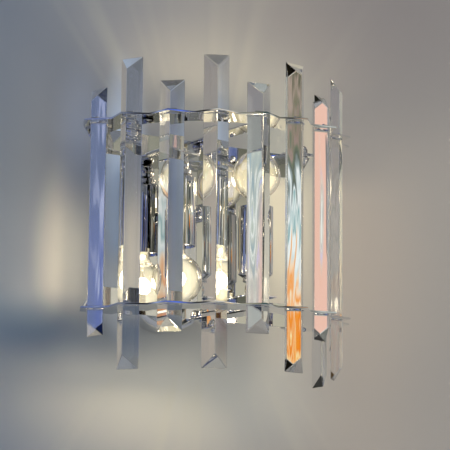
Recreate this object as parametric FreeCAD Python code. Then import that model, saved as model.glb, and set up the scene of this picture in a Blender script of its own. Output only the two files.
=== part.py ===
import FreeCAD, Part
import math
import os

# Crystal wall sconce. Ten trihedral crystals, long and short in turn, stand in a half ring.
# They hang on cross pins through two polished zigzag plates in front of a small mirror plate.
# Two lamps stand between the plates: the left one points down, the right one points up.
# Frame: millimetres, +Z up, the wall is the plane Y = 0 and the room is towards -Y.
# The origin is the middle of the two wall screws.

os.makedirs("parts", exist_ok=True)

# ---- driving dimensions -------------------------------------------------------------------

# ring of crystals
ring_axis_depth = 70.0          # from the wall to the axis of the half ring
crystal_count = 10
crystal_step_deg = 18.2
prism_base_radius = 120.0       # ring axis to the flat inner face of a crystal
prism_width = 22.6
prism_height = 9.5              # inner face to ridge
prism_edge_chamfer = 0.7
mitre_drop = 12.2               # how much lower a crystal's ridge ends than its inner face
long_crystal_top = 134.5
long_crystal_length = 272.0
short_crystal_top = 112.0
short_crystal_length = 218.6
cross_pin_radius = 1.0
cross_pin_length = 12.0
cross_pin_inset = 3.0           # pin axis inside the ridge

# zigzag plates
plate_gap = 165.0               # between the middles of the two plates
plate_thickness = 1.6
tip_radius = 136.5
notch_radius = 123.5
plate_inner_radius = 91.0
centre_strip_width = 18.0
crystal_hole_clearance = 0.4

# back bars, bent from sheet
sheet_thickness = 1.5
bar_front_depth = 68.5          # from the wall to the front face of the bars
bar_height = 22.0
bar_half_length = 123.0
bar_end_cut = 14.0
ear_width = 14.0
ear_reach = 13.0
ear_spread = 110.0              # outer ears, from the middle
ear_screw_inset = 6.0           # from the bar's front face
lamp_tab_width = 30.0
lamp_tab_reach = 40.0

# mirror plate
mirror_width = 130.0
mirror_height = 156.0
mirror_corner_radius = 5.0
mirror_screw_spread = 70.0

# wall side
strap_width = 24.0
strap_length = 130.0
strap_thickness = 2.0
wall_screw_spacing = 100.0
wall_slot_radius = 2.25
wall_slot_length = 10.0
hub_height = 16.0               # nipple above the middle of the wall screws
cable_hole_drop = 12.0
grommet_bore_radius = 3.5
grommet_wall = 1.4
grommet_lip = 1.6
canopy_width = 92.0
canopy_height = 176.0
canopy_depth = 20.0
canopy_wall = 1.2
canopy_edge_radius = 6.0
canopy_hole_radius = 11.0
neck_radius = 14.0
neck_wall = 1.5
neck_notch = 5.0

# threaded tube, nuts and screws
nipple_radius = 5.0
nipple_bore_radius = 3.5
thread_clearance = 0.05
nut_across_flats = 14.0
nut_height = 5.0
cap_nut_radius = 8.0
cap_nut_length = 13.0
cap_nut_wall = 4.0
screw_radius = 2.0
screw_head_radius = 4.0
screw_head_height = 2.2
screw_clearance = 0.25
acorn_across_flats = 9.0
acorn_hex_height = 4.0
acorn_dome_radius = 4.2
mirror_screw_radius = 1.5
mirror_screw_head_radius = 3.0
mirror_nut_height = 2.4

# lamps: golf-ball bulbs with a small screw cap
lamp_spread = 42.0              # lamp axis from the middle
lamp_forward = 28.0             # lamp axis in front of the bars
sleeve_radius = 16.0
sleeve_wall = 1.0
sleeve_closed_end = 39.0
sleeve_length = 61.0
sleeve_cap_neck_radius = 11.5
sleeve_cap_neck_height = 3.0
sleeve_cap_dome_height = 5.0
sleeve_cap_lip = 4.0
ball_radius = 9.6
holder_radius = 13.2
holder_inset = 3.0              # holder's mouth inside the sleeve's mouth
holder_length = 44.0
holder_boss_radius = 9.0
holder_boss_length = 7.0
shell_bore_radius = 7.25
shell_wall = 0.8
shell_length = 23.0
contact_radius = 3.5
contact_height = 3.0
bulb_radius = 22.5
bulb_end = 74.0                 # far end of the bulb from the sconce's mid height
bulb_glass_thickness = 0.8
bulb_neck_radius = 6.2
bulb_throat_radius = 8.0
bulb_cap_radius = 6.9
bulb_cap_length = 19.0
bulb_cap_overhang = 1.5         # cap's rim outside the holder's mouth
bulb_tip_radius = 2.4
bulb_tip_length = 5.0
stem_radius = 2.4
stem_length = 17.0
filament_ring_radius = 8.0
filament_wire_radius = 0.45
filament_arc_deg = 300.0

# wiring
flex_radius = 1.25
flex_bend_radius = 5.5
flex_behind_mirror = 3.2        # flex axis behind the mirror plate
flex_at_bar = 11.0              # flex axis under the plate where it crosses the bar
flex_in_canopy = 12.0           # flex axis from the wall inside the canopy
flex_spread = 8.7
block_width = 30.0
block_height = 16.0
block_depth = 12.0
block_drop = 34.0
block_screw_radius = 2.0
block_screw_recess = 2.0
earth_screw_lift = 34.0

# ---- places worked out from the sizes above -----------------------------------------------

half_gap = plate_gap / 2
plate_top = half_gap + plate_thickness / 2
plate_under = half_gap - plate_thickness / 2
bar_front = -bar_front_depth
bar_back = bar_front + sheet_thickness
mirror_back = bar_back + sheet_thickness
bar_low = plate_under - bar_height
lamp_depth = bar_front - lamp_forward
ear_screw_depth = bar_front - ear_screw_inset
canopy_front = -canopy_depth
ridge_radius = prism_base_radius + prism_height
cross_pin_radial = ridge_radius - cross_pin_inset
tab_top = bar_low + sheet_thickness
holder_mouth = sleeve_closed_end - sleeve_length + holder_inset
holder_back = holder_mouth + holder_length
bulb_rim = holder_mouth - bulb_cap_overhang
bulb_centre = -bulb_end + bulb_radius

UP = FreeCAD.Vector(0, 0, 1)
RIGHT = FreeCAD.Vector(1, 0, 0)
TO_WALL = FreeCAD.Vector(0, 1, 0)
TO_ROOM = FreeCAD.Vector(0, -1, 0)


def point(x, y, z):
    return FreeCAD.Vector(x, y, z)


def rod(radius, length, start, direction):
    return Part.makeCylinder(radius, length, start, direction)


def tube(outer_radius, inner_radius, length, start, direction):
    return rod(outer_radius, length, start, direction).cut(rod(inner_radius, length, start, direction))


def block(x_low, x_high, y_low, y_high, z_low, z_high):
    size = (x_high - x_low, y_high - y_low, z_high - z_low)
    return Part.makeBox(*size, point(x_low, y_low, z_low))


def prism_of(points, direction):
    """Solid made by pushing a closed flat outline along a direction."""
    return Part.Face(Part.makePolygon(points + [points[0]])).extrude(direction)


def hexagon(across_flats, height, start, direction):
    """Hexagonal nut blank whose axis starts at a point and runs along a direction."""
    corner = across_flats / math.sqrt(3)
    corners = [point(corner * math.cos(math.radians(60 * i)), corner * math.sin(math.radians(60 * i)), 0)
               for i in range(6)]
    blank = prism_of(corners, UP * height)
    blank.Placement = FreeCAD.Placement(start, FreeCAD.Rotation(UP, direction))
    return blank


def revolved(edges, axis_point):
    """Solid turned about a vertical axis from an outline in the plane through it."""
    return Part.Face(Part.Wire(edges)).revolve(axis_point, UP, 360)


def turned_over(shape):
    """The same piece for the right lamp: the left one turned half a turn about the Y axis."""
    copy = shape.copy()
    copy.rotate(point(0, 0, 0), TO_WALL, 180)
    return copy


def export(node, *solids):
    shape = solids[0] if len(solids) == 1 else Part.makeCompound(list(solids))
    shape.exportStep("parts/" + node + ".step")


def on_ring(shape, number):
    """Turns a piece modelled at the front of the ring to the place of one crystal."""
    turn = (number - (crystal_count + 1) / 2) * crystal_step_deg
    copy = shape.copy()
    copy.rotate(point(0, -ring_axis_depth, 0), UP, turn)
    return copy


# ---- crystals and their cross pins --------------------------------------------------------

def crystal_section(clearance, chamfer):
    """Triangle of a crystal at the front of the ring, its ridge towards the room."""
    lean = math.atan2(prism_width / 2, prism_height)
    side_shift = clearance / math.sin(lean)
    half = prism_width / 2 + (side_shift + clearance) * math.tan(lean)
    base = -ring_axis_depth - prism_base_radius + clearance
    ridge = -ring_axis_depth - ridge_radius - side_shift
    flank = math.hypot(half, ridge - base)
    along = (half / flank, (base - ridge) / flank)
    return [point(-half + chamfer, base, 0), point(half - chamfer, base, 0),
            point(half - chamfer * along[0], base - chamfer * along[1], 0),
            point(chamfer * along[0], ridge + chamfer * along[1], 0),
            point(-chamfer * along[0], ridge + chamfer * along[1], 0),
            point(-half + chamfer * along[0], base - chamfer * along[1], 0)]


def crystal(top, length):
    """Trihedral bar with both ends cut by one sloping plane, and the bore for its pin."""
    base = -ring_axis_depth - prism_base_radius
    ridge = base - prism_height
    bottom = top - length
    section = crystal_section(0, prism_edge_chamfer)
    column = prism_of([p + UP * bottom for p in section], UP * length)
    side_view = [point(-prism_width, base, bottom), point(-prism_width, base, top),
                 point(-prism_width, ridge, top - mitre_drop),
                 point(-prism_width, ridge, bottom + mitre_drop)]
    mitred = column.common(prism_of(side_view, RIGHT * (2 * prism_width)))
    bore = cross_pin(cross_pin_radius + thread_clearance, prism_width)
    return mitred.cut(bore)


def cross_pin(radius, length):
    height = plate_top + cross_pin_radius + thread_clearance
    start = point(-length / 2, -ring_axis_depth - cross_pin_radial, height)
    return rod(radius, length, start, RIGHT)


long_crystal = crystal(long_crystal_top, long_crystal_length)
short_crystal = crystal(short_crystal_top, short_crystal_length)
for number in range(1, crystal_count + 1):
    blank = long_crystal if number % 2 == 0 else short_crystal
    export("crystal_%02d" % number, on_ring(blank, number))
    export("crystal_pin_%02d" % number, on_ring(cross_pin(cross_pin_radius, cross_pin_length), number))


# ---- zigzag plates ------------------------------------------------------------------------

def ear_places():
    return [(x, ear_screw_depth) for x in (-ear_spread, 0, ear_spread)]


def zigzag_plate(low):
    """Half ring with a toothed outer edge, a centre strip and one hole for each crystal."""
    outline = []
    for i in range(2 * crystal_count + 1):
        turn = math.radians((i / 2 - crystal_count / 2) * crystal_step_deg)
        radius = tip_radius if i % 2 else notch_radius
        outline.append(point(radius * math.sin(turn), -ring_axis_depth - radius * math.cos(turn), low))
    outline[0] = point(outline[0].x, bar_back, low)
    outline[-1] = point(outline[-1].x, bar_back, low)
    plate = prism_of(outline, UP * plate_thickness)
    plate = plate.cut(rod(plate_inner_radius, plate_thickness, point(0, -ring_axis_depth, low), UP))
    strip_front = -ring_axis_depth - plate_inner_radius - centre_strip_width / 2
    plate = plate.fuse(block(-centre_strip_width / 2, centre_strip_width / 2, strip_front, bar_back,
                             low, low + plate_thickness)).removeSplitter()
    hole_outline = crystal_section(crystal_hole_clearance, prism_edge_chamfer)
    crystal_hole = prism_of([p + UP * low for p in hole_outline], UP * plate_thickness)
    for number in range(1, crystal_count + 1):
        plate = plate.cut(on_ring(crystal_hole, number))
    for x, y in ear_places():
        plate = plate.cut(rod(screw_radius + screw_clearance, plate_thickness, point(x, y, low), UP))
    return plate


export("upper_plate", zigzag_plate(plate_under))
export("lower_plate", zigzag_plate(-plate_top))


# ---- back bars with ears for the plates and a tab for a lamp ------------------------------

def back_bar():
    """The upper bar, hanging from the plate, with its left lamp's tab bent forward."""
    web = prism_of([point(-bar_half_length, bar_front, plate_under),
                    point(bar_half_length, bar_front, plate_under),
                    point(bar_half_length - bar_end_cut, bar_front, bar_low),
                    point(-bar_half_length + bar_end_cut, bar_front, bar_low)],
                   TO_WALL * sheet_thickness)
    for x, y in ear_places():
        ear = block(x - ear_width / 2, x + ear_width / 2, bar_front - ear_reach, bar_front,
                    plate_under - sheet_thickness, plate_under)
        web = web.fuse(ear)
    tab = block(-lamp_spread - lamp_tab_width / 2, -lamp_spread + lamp_tab_width / 2,
                bar_front - lamp_tab_reach, bar_front, bar_low, tab_top)
    web = web.fuse(tab).removeSplitter()
    for x, y in ear_places():
        web = web.cut(rod(screw_radius + screw_clearance, sheet_thickness,
                          point(x, y, plate_under - sheet_thickness), UP))
    nipple_hole = rod(nipple_radius + screw_clearance, sheet_thickness,
                      point(-lamp_spread, lamp_depth, bar_low), UP)
    web = web.cut(nipple_hole)
    flex_hole = rod(flex_radius + 3 * screw_clearance, sheet_thickness,
                    point(-lamp_spread, bar_front, plate_under - flex_at_bar), TO_WALL)
    web = web.cut(flex_hole)
    for x, z in mirror_screw_places():
        if z > 0:
            web = web.cut(rod(mirror_screw_radius + screw_clearance, sheet_thickness,
                              point(x, bar_front, z), TO_WALL))
    return web


def mirror_screw_places():
    height = bar_low + bar_height / 2
    return [(x, z) for x in (-mirror_screw_spread / 2, mirror_screw_spread / 2)
            for z in (-height, height)]


export("upper_back_bar", back_bar())
export("lower_back_bar", turned_over(back_bar()))


# ---- screws and acorn nuts that hold the plates to the ears -------------------------------

def plate_screw(x, y):
    """Round head on the plate, thread down through plate and ear into the acorn nut."""
    seat = point(x, y, plate_top)
    head = rod(screw_head_radius, screw_head_height, seat, UP)
    head = head.makeFillet(screw_head_height * 0.6, [head.Edges[0]])
    reach = plate_thickness + sheet_thickness + acorn_hex_height
    return head.fuse(rod(screw_radius, reach, seat - UP * reach, UP))


def acorn_nut(x, y):
    """Hexagon with a domed end, under the ear."""
    seat = point(x, y, plate_under - sheet_thickness)
    body = hexagon(acorn_across_flats, acorn_hex_height, seat, -UP)
    dome_centre = seat - UP * acorn_hex_height
    dome = Part.makeSphere(acorn_dome_radius, dome_centre, -UP, 0, 90, 360)
    bore = rod(screw_radius + thread_clearance, acorn_hex_height + screw_clearance, seat, -UP)
    return body.fuse(dome).cut(bore)


upper_screws = [plate_screw(x, y) for x, y in ear_places()]
upper_nuts = [acorn_nut(x, y) for x, y in ear_places()]
export("plate_screws", *(upper_screws + [turned_over(screw) for screw in upper_screws]))
export("plate_acorn_nuts", *(upper_nuts + [turned_over(nut) for nut in upper_nuts]))


# ---- mirror plate and the screws that hold it behind the bars -----------------------------

def mirror_plate():
    plate = block(-mirror_width / 2, mirror_width / 2, bar_back, mirror_back,
                  -mirror_height / 2, mirror_height / 2)
    corners = [edge for edge in plate.Edges
               if abs(edge.Vertexes[0].Point.y - edge.Vertexes[-1].Point.y) > sheet_thickness / 2]
    plate = plate.makeFillet(mirror_corner_radius, corners)
    plate = plate.cut(rod(nipple_radius + screw_clearance, sheet_thickness,
                          point(0, bar_back, hub_height), TO_WALL))
    for x, z in mirror_screw_places():
        plate = plate.cut(rod(mirror_screw_radius + screw_clearance, sheet_thickness,
                              point(x, bar_back, z), TO_WALL))
    flex_height = plate_under - flex_at_bar
    for x, z in ((-lamp_spread, flex_height), (lamp_spread, -flex_height)):
        plate = plate.cut(rod(flex_radius + 3 * screw_clearance, sheet_thickness,
                              point(x, bar_back, z), TO_WALL))
    return plate


def mirror_screw(x, z):
    seat = point(x, bar_front, z)
    head = Part.makeSphere(mirror_screw_head_radius, seat, TO_ROOM, 0, 90, 360)
    reach = 2 * sheet_thickness + mirror_nut_height
    return head.fuse(rod(mirror_screw_radius, reach, seat, TO_WALL))


def mirror_nut(x, z):
    nut = hexagon(2 * mirror_screw_head_radius, mirror_nut_height, point(x, mirror_back, z), TO_WALL)
    return nut.cut(rod(mirror_screw_radius + thread_clearance, mirror_nut_height,
                       point(x, mirror_back, z), TO_WALL))


export("mirror_plate", mirror_plate())
export("mirror_screws", *[mirror_screw(x, z) for x, z in mirror_screw_places()])
export("mirror_nuts", *[mirror_nut(x, z) for x, z in mirror_screw_places()])


# ---- wall strap, grommet, earth screw and terminal block ----------------------------------

def wall_strap():
    """Flat strap on the wall: two slots for wall screws, a nipple hole and a cable hole."""
    strap = block(-strap_width / 2, strap_width / 2, -strap_thickness, 0,
                  -strap_length / 2, strap_length / 2)
    ends = [edge for edge in strap.Edges
            if abs(edge.Vertexes[0].Point.y - edge.Vertexes[-1].Point.y) > strap_thickness / 2]
    strap = strap.makeFillet(strap_width / 4, ends)
    front = -strap_thickness
    for side in (-1, 1):
        middle = side * wall_screw_spacing / 2
        run = wall_slot_length / 2 - wall_slot_radius
        slot = block(-wall_slot_radius, wall_slot_radius, front, 0, middle - run, middle + run)
        for end in (middle - run, middle + run):
            slot = slot.fuse(rod(wall_slot_radius, strap_thickness, point(0, front, end), TO_WALL))
        strap = strap.cut(slot)
    holes = ((hub_height, nipple_radius + thread_clearance),
             (-cable_hole_drop, grommet_bore_radius + grommet_wall + thread_clearance),
             (earth_screw_lift, screw_radius + thread_clearance))
    for height, radius in holes:
        strap = strap.cut(rod(radius, strap_thickness, point(0, front, height), TO_WALL))
    return strap


def cable_grommet():
    """Rubber bush in the strap's cable hole, with a lip on the room side."""
    middle = point(0, 0, -cable_hole_drop)
    body = rod(grommet_bore_radius + grommet_wall, strap_thickness, middle, TO_ROOM)
    lip = rod(grommet_bore_radius + 2 * grommet_wall, grommet_lip, middle + TO_ROOM * strap_thickness, TO_ROOM)
    length = strap_thickness + grommet_lip
    return body.fuse(lip).cut(rod(grommet_bore_radius, length, middle, TO_ROOM))


def earth_screw():
    seat = point(0, -strap_thickness, earth_screw_lift)
    washer = rod(screw_head_radius * 1.25, sheet_thickness / 2, seat, TO_ROOM)
    head_start = seat + TO_ROOM * (sheet_thickness / 2)
    head = rod(screw_head_radius, screw_head_height, head_start, TO_ROOM)
    return washer.fuse(head).fuse(rod(screw_radius, strap_thickness, seat, TO_WALL))


def terminal_block():
    """Three-way block on the strap, with a screw well and a wire hole for each way."""
    body = block(-block_width / 2, block_width / 2, -strap_thickness - block_depth, -strap_thickness,
                 -block_drop - block_height / 2, -block_drop + block_height / 2)
    way = block_width / 3
    for x in (-way, 0, way):
        for z in (-block_height / 4, block_height / 4):
            well = point(x, -strap_thickness - block_depth, -block_drop + z)
            body = body.cut(rod(block_screw_radius, block_screw_recess, well, TO_WALL))
    for x in (-way / 2, way / 2):
        groove = block(x - block_screw_recess / 4, x + block_screw_recess / 4,
                       -strap_thickness - block_depth, -strap_thickness - block_depth + block_screw_recess,
                       -block_drop - block_height / 2, -block_drop + block_height / 2)
        body = body.cut(groove)
    return body


export("wall_strap", wall_strap())
export("cable_grommet", cable_grommet())
export("earth_screw", earth_screw())
export("terminal_block", terminal_block())


# ---- canopy, neck, nipple and its nuts ----------------------------------------------------

def racetrack(width, height, depth, edge_radius):
    """Upright racetrack-shaped block from the wall to the room, its front edge rounded."""
    radius = width / 2
    straight = height / 2 - radius
    body = block(-radius, radius, -depth, 0, -straight, straight)
    for end in (-straight, straight):
        body = body.fuse(rod(radius, depth, point(0, -depth, end), TO_WALL))
    body = body.removeSplitter()
    front_edges = [edge for edge in body.Edges if abs(edge.BoundBox.YMax + depth) < thread_clearance]
    return body.makeFillet(edge_radius, front_edges)


def canopy():
    outer = racetrack(canopy_width, canopy_height, canopy_depth, canopy_edge_radius)
    inner = racetrack(canopy_width - 2 * canopy_wall, canopy_height - 2 * canopy_wall,
                      canopy_depth - canopy_wall, canopy_edge_radius - canopy_wall)
    hole = rod(canopy_hole_radius, canopy_depth, point(0, -canopy_depth, hub_height), TO_WALL)
    return outer.cut(inner).cut(hole)


def neck_tube():
    """Round tube from canopy to mirror plate, notched on both sides to let the flexes out."""
    start = point(0, canopy_front, hub_height)
    length = canopy_front - mirror_back
    neck = tube(neck_radius, neck_radius - neck_wall, length, start, TO_ROOM)
    notch = block(-neck_radius, neck_radius, mirror_back, mirror_back + neck_notch,
                  hub_height - neck_notch / 2, hub_height + neck_notch / 2)
    return neck.cut(notch)


def centre_nipple():
    start = point(0, 0, hub_height)
    length = -bar_back + cap_nut_length - cap_nut_wall
    return tube(nipple_radius, nipple_bore_radius, length, start, TO_ROOM)


def nipple_nut():
    start = point(0, -strap_thickness, hub_height)
    nut = hexagon(nut_across_flats, nut_height, start, TO_ROOM)
    return nut.cut(rod(nipple_radius + thread_clearance, nut_height, start, TO_ROOM))


def cap_nut():
    """Turned cap on the nipple's room end: a short barrel with a domed end."""
    start = point(0, bar_back, hub_height)
    barrel = cap_nut_length - cap_nut_radius / 2
    body = rod(cap_nut_radius, barrel, start, TO_ROOM)
    ball_radius_needed = (cap_nut_radius ** 2 + (cap_nut_radius / 2) ** 2) / cap_nut_radius
    ball_centre = start + TO_ROOM * (cap_nut_length - ball_radius_needed)
    ball = Part.makeSphere(ball_radius_needed, ball_centre)
    dome = rod(cap_nut_radius, cap_nut_radius / 2, start + TO_ROOM * barrel, TO_ROOM).common(ball)
    bore = rod(nipple_radius + thread_clearance, cap_nut_length - cap_nut_wall + thread_clearance,
               start, TO_ROOM)
    return body.fuse(dome).removeSplitter().cut(bore)


export("canopy", canopy())
export("neck_tube", neck_tube())
export("centre_nipple", centre_nipple())
export("nipple_nut", nipple_nut())
export("cap_nut", cap_nut())


# ---- lamps: the left one is modelled, the right one is its half turn about Y --------------

def lamp_point(z):
    return point(-lamp_spread, lamp_depth, z)


def lamp_nipple():
    low = holder_back + thread_clearance
    return tube(nipple_radius, nipple_bore_radius, tab_top + nut_height + sheet_thickness - low,
                lamp_point(low), UP)


def lamp_nut():
    nut = hexagon(nut_across_flats, nut_height, lamp_point(tab_top), UP)
    return nut.cut(rod(nipple_radius + thread_clearance, nut_height, lamp_point(tab_top), UP))


def sleeve_cap():
    """Turned cover of the sleeve's closed end: a lip inside it, a dome and a round neck."""
    low = sleeve_closed_end
    shoulder = low + sleeve_cap_dome_height
    neck_top = shoulder + sleeve_cap_neck_height
    lip = rod(sleeve_radius - sleeve_wall - thread_clearance, sleeve_cap_lip,
              lamp_point(low - sleeve_cap_lip), UP)
    dome = Part.makeCone(sleeve_radius, sleeve_cap_neck_radius - sleeve_wall, sleeve_cap_dome_height,
                         lamp_point(low), UP)
    neck = rod(sleeve_cap_neck_radius, sleeve_cap_neck_height, lamp_point(shoulder), UP)
    bore = rod(nipple_radius + thread_clearance, neck_top - low + sleeve_cap_lip,
               lamp_point(low - sleeve_cap_lip), UP)
    hollow = rod(holder_boss_radius + sleeve_wall, sleeve_cap_lip, lamp_point(low - sleeve_cap_lip), UP)
    return lip.fuse(dome).fuse(neck).cut(bore).cut(hollow)


def ball_collar():
    """Ball with flat ends between the sleeve's cap and the tab."""
    low = sleeve_closed_end + sleeve_cap_dome_height + sleeve_cap_neck_height
    middle = (low + bar_low) / 2
    ball = Part.makeSphere(ball_radius, lamp_point(middle))
    slab = rod(ball_radius + sleeve_wall, bar_low - low, lamp_point(low), UP)
    return ball.common(slab).cut(rod(nipple_radius + thread_clearance, bar_low - low, lamp_point(low), UP))


def sleeve():
    return tube(sleeve_radius, sleeve_radius - sleeve_wall, sleeve_length,
                lamp_point(sleeve_closed_end - sleeve_length), UP)


def lampholder():
    """Porcelain body with a well for the threaded shell and a boss for the nipple."""
    body = rod(holder_radius, holder_length, lamp_point(holder_mouth), UP)
    boss = rod(holder_boss_radius, holder_boss_length, lamp_point(holder_back), UP)
    well_radius = shell_bore_radius + shell_wall + thread_clearance
    well = rod(well_radius, shell_length + contact_height, lamp_point(holder_mouth), UP)
    thread = rod(nipple_radius + thread_clearance, holder_boss_length, lamp_point(holder_back), UP)
    return body.fuse(boss).removeSplitter().cut(well).cut(thread)


def holder_shell():
    return tube(shell_bore_radius + shell_wall, shell_bore_radius, shell_length - bulb_cap_overhang,
                lamp_point(holder_mouth + bulb_cap_overhang), UP)


def holder_contact():
    """Springy centre contact on the floor of the holder's well."""
    floor = holder_mouth + shell_length + contact_height
    foot = rod(contact_radius, contact_height / 2, lamp_point(floor - contact_height / 2), UP)
    tip = rod(bulb_tip_radius, contact_height, lamp_point(floor - contact_height), UP)
    return foot.fuse(tip)


def bulb_cap():
    """Screw cap: skirt, insulator cone and centre contact."""
    skirt = rod(bulb_cap_radius, bulb_cap_length, lamp_point(bulb_rim), UP)
    top = bulb_rim + bulb_cap_length
    cone = Part.makeCone(bulb_cap_radius, bulb_tip_radius, bulb_tip_length * 0.7, lamp_point(top), UP)
    tip = rod(bulb_tip_radius, bulb_tip_length, lamp_point(top), UP)
    return skirt.fuse(cone).fuse(tip)


def globe(radius, neck, throat, top):
    """Golf-ball envelope as one turned solid: ball, hollow throat and a neck to the cap."""
    axis_x = -lamp_spread
    rise = math.sqrt((radius + throat) ** 2 - (neck + throat) ** 2)
    throat_angle = math.atan2(rise, neck + throat)

    def on_ball(angle):
        return point(axis_x + radius * math.cos(angle), lamp_depth,
                     bulb_centre + radius * math.sin(angle))

    def on_throat(angle):
        return point(axis_x + neck + throat - throat * math.cos(angle), lamp_depth,
                     bulb_centre + rise - throat * math.sin(angle))

    pole = point(axis_x, lamp_depth, bulb_centre - radius)
    neck_foot = on_throat(0)
    neck_rim = point(axis_x + neck, lamp_depth, top)
    crown = point(axis_x, lamp_depth, top)
    edges = [Part.Arc(pole, on_ball(0), on_ball(throat_angle)).toShape(),
             Part.Arc(on_throat(throat_angle), on_throat(throat_angle / 2), neck_foot).toShape(),
             Part.makeLine(neck_foot, neck_rim),
             Part.makeLine(neck_rim, crown),
             Part.makeLine(crown, pole)]
    return revolved(edges, lamp_point(0))


def bulb_glass():
    outer = globe(bulb_radius, bulb_neck_radius, bulb_throat_radius, bulb_rim)
    inner = globe(bulb_radius - bulb_glass_thickness, bulb_neck_radius - bulb_glass_thickness,
                  bulb_throat_radius + bulb_glass_thickness, bulb_rim)
    return outer.cut(inner)


def bulb_stem():
    """Glass stem on the cap and the two lead wires that carry the filament."""
    top = bulb_rim
    stem = rod(stem_radius, stem_length, lamp_point(top - stem_length), UP)
    lead_foot = top - stem_length + stem_radius
    filament_height = filament_plane()
    leads = []
    for turn in (-filament_arc_deg / 2, filament_arc_deg / 2):
        angle = math.radians(turn - 90)
        end = lamp_point(filament_height + filament_wire_radius)
        end += point(filament_ring_radius * math.cos(angle), filament_ring_radius * math.sin(angle), 0)
        start = lamp_point(lead_foot)
        leads.append(rod(filament_wire_radius, (end - start).Length, start, end - start))
    return stem.fuse(leads)


def filament_plane():
    return bulb_centre + filament_wire_radius


def filament():
    """Horseshoe of fine wire round the end of the stem."""
    ring = Part.makeTorus(filament_ring_radius, filament_wire_radius, lamp_point(filament_plane()),
                          UP, 0, 360, filament_arc_deg)
    ring.rotate(lamp_point(0), UP, -filament_arc_deg / 2 - 90)
    return ring


lamp_parts = {"sleeve": sleeve(), "lampholder": lampholder(), "bulb_glass": bulb_glass(),
              "bulb_cap": bulb_cap(), "bulb_stem": bulb_stem(), "bulb_filament": filament()}
for name, shape in lamp_parts.items():
    export("left_" + name, shape)
    export("right_" + name, turned_over(shape))

paired_parts = {"lamp_nipples": lamp_nipple(), "lamp_nuts": lamp_nut(), "sleeve_caps": sleeve_cap(),
                "ball_collars": ball_collar(), "holder_shells": holder_shell(),
                "holder_contacts": holder_contact()}
for name, shape in paired_parts.items():
    export(name, shape, turned_over(shape))


# ---- flexes from the terminal block to the lamps ------------------------------------------

def bent_flex(corners):
    """Round flex along straight runs, with an arc at each corner."""
    edges = []
    at = corners[0]
    for before, corner, after in zip(corners, corners[1:], corners[2:]):
        incoming = (corner - before).normalize()
        outgoing = (after - corner).normalize()
        start = corner - incoming * flex_bend_radius
        end = corner + outgoing * flex_bend_radius
        centre = corner - incoming * flex_bend_radius + outgoing * flex_bend_radius
        middle = centre + (corner - centre).normalize() * flex_bend_radius
        edges.append(Part.makeLine(at, start))
        edges.append(Part.Arc(start, middle, end).toShape())
        at = end
    edges.append(Part.makeLine(at, corners[-1]))
    path = Part.Wire(edges)
    direction = (corners[1] - corners[0]).normalize()
    section = Part.Wire(Part.makeCircle(flex_radius, corners[0], direction))
    return path.makePipeShell([section], True, False)


def flex_corners(side):
    """Runs of one flex: side is -1 for the left lamp, above, and 1 for the right lamp, below."""
    rise = -side
    block_top = -block_drop + block_height / 2
    behind = mirror_back + flex_behind_mirror
    crossing = rise * (plate_under - flex_at_bar)
    nipple_end = rise * (tab_top + nut_height + sheet_thickness)
    return [point(side * flex_spread, -flex_in_canopy, block_top),
            point(side * flex_spread, -flex_in_canopy, hub_height),
            point(side * flex_spread, behind, hub_height),
            point(side * lamp_spread, behind, hub_height),
            point(side * lamp_spread, behind, crossing),
            point(side * lamp_spread, lamp_depth, crossing),
            point(side * lamp_spread, lamp_depth, nipple_end - rise * nut_height)]


export("left_lamp_flex", bent_flex(flex_corners(-1)))
export("right_lamp_flex", bent_flex(flex_corners(1)))
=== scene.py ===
import math

import bpy
from mathutils import Matrix, Vector


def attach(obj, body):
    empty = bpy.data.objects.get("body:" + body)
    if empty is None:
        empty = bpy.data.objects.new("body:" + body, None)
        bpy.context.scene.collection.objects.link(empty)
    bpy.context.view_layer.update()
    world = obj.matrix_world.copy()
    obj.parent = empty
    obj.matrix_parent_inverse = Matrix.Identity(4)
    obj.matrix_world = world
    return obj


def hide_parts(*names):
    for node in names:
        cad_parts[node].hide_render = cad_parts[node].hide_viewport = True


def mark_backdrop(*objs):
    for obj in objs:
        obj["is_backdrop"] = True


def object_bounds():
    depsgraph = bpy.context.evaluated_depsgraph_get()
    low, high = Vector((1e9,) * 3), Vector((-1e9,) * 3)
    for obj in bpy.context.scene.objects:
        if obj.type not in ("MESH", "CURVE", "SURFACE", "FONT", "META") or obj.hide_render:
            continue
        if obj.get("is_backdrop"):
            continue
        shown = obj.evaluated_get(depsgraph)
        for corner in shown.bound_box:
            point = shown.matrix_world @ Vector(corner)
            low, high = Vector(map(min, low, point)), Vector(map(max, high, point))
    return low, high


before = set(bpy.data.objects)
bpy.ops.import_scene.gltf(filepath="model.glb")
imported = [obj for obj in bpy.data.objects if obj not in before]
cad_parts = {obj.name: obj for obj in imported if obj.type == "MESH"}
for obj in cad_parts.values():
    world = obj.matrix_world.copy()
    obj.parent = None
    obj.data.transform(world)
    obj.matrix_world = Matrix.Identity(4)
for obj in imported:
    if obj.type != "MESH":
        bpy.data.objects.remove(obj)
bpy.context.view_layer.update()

MM = 0.001


# ---- Camera ------------------------------------------------------------------------------
# It stands before the left end of the sconce and a little below it, about 1.9 m away, with a
# long lens. Its place was worked out from the tips of the plates and the ends of the crystals.
eye = bpy.data.cameras.new("camera")
eye.sensor_width = 36.0
eye.lens = 166.25
eye.clip_start = 0.05
eye.clip_end = 50.0
camera = bpy.data.objects.new("camera", eye)
bpy.context.scene.collection.objects.link(camera)
aim = (Matrix.Rotation(math.radians(-33.64), 4, "Z") @ Matrix.Rotation(math.radians(99.57), 4, "X")
       @ Matrix.Rotation(math.radians(0.51), 4, "Z"))
camera.matrix_world = Matrix.Translation((-1.0138, -1.6326, -0.3088)) @ aim
bpy.context.scene.camera = camera
bpy.context.scene.view_settings.view_transform = "Standard"


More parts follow.
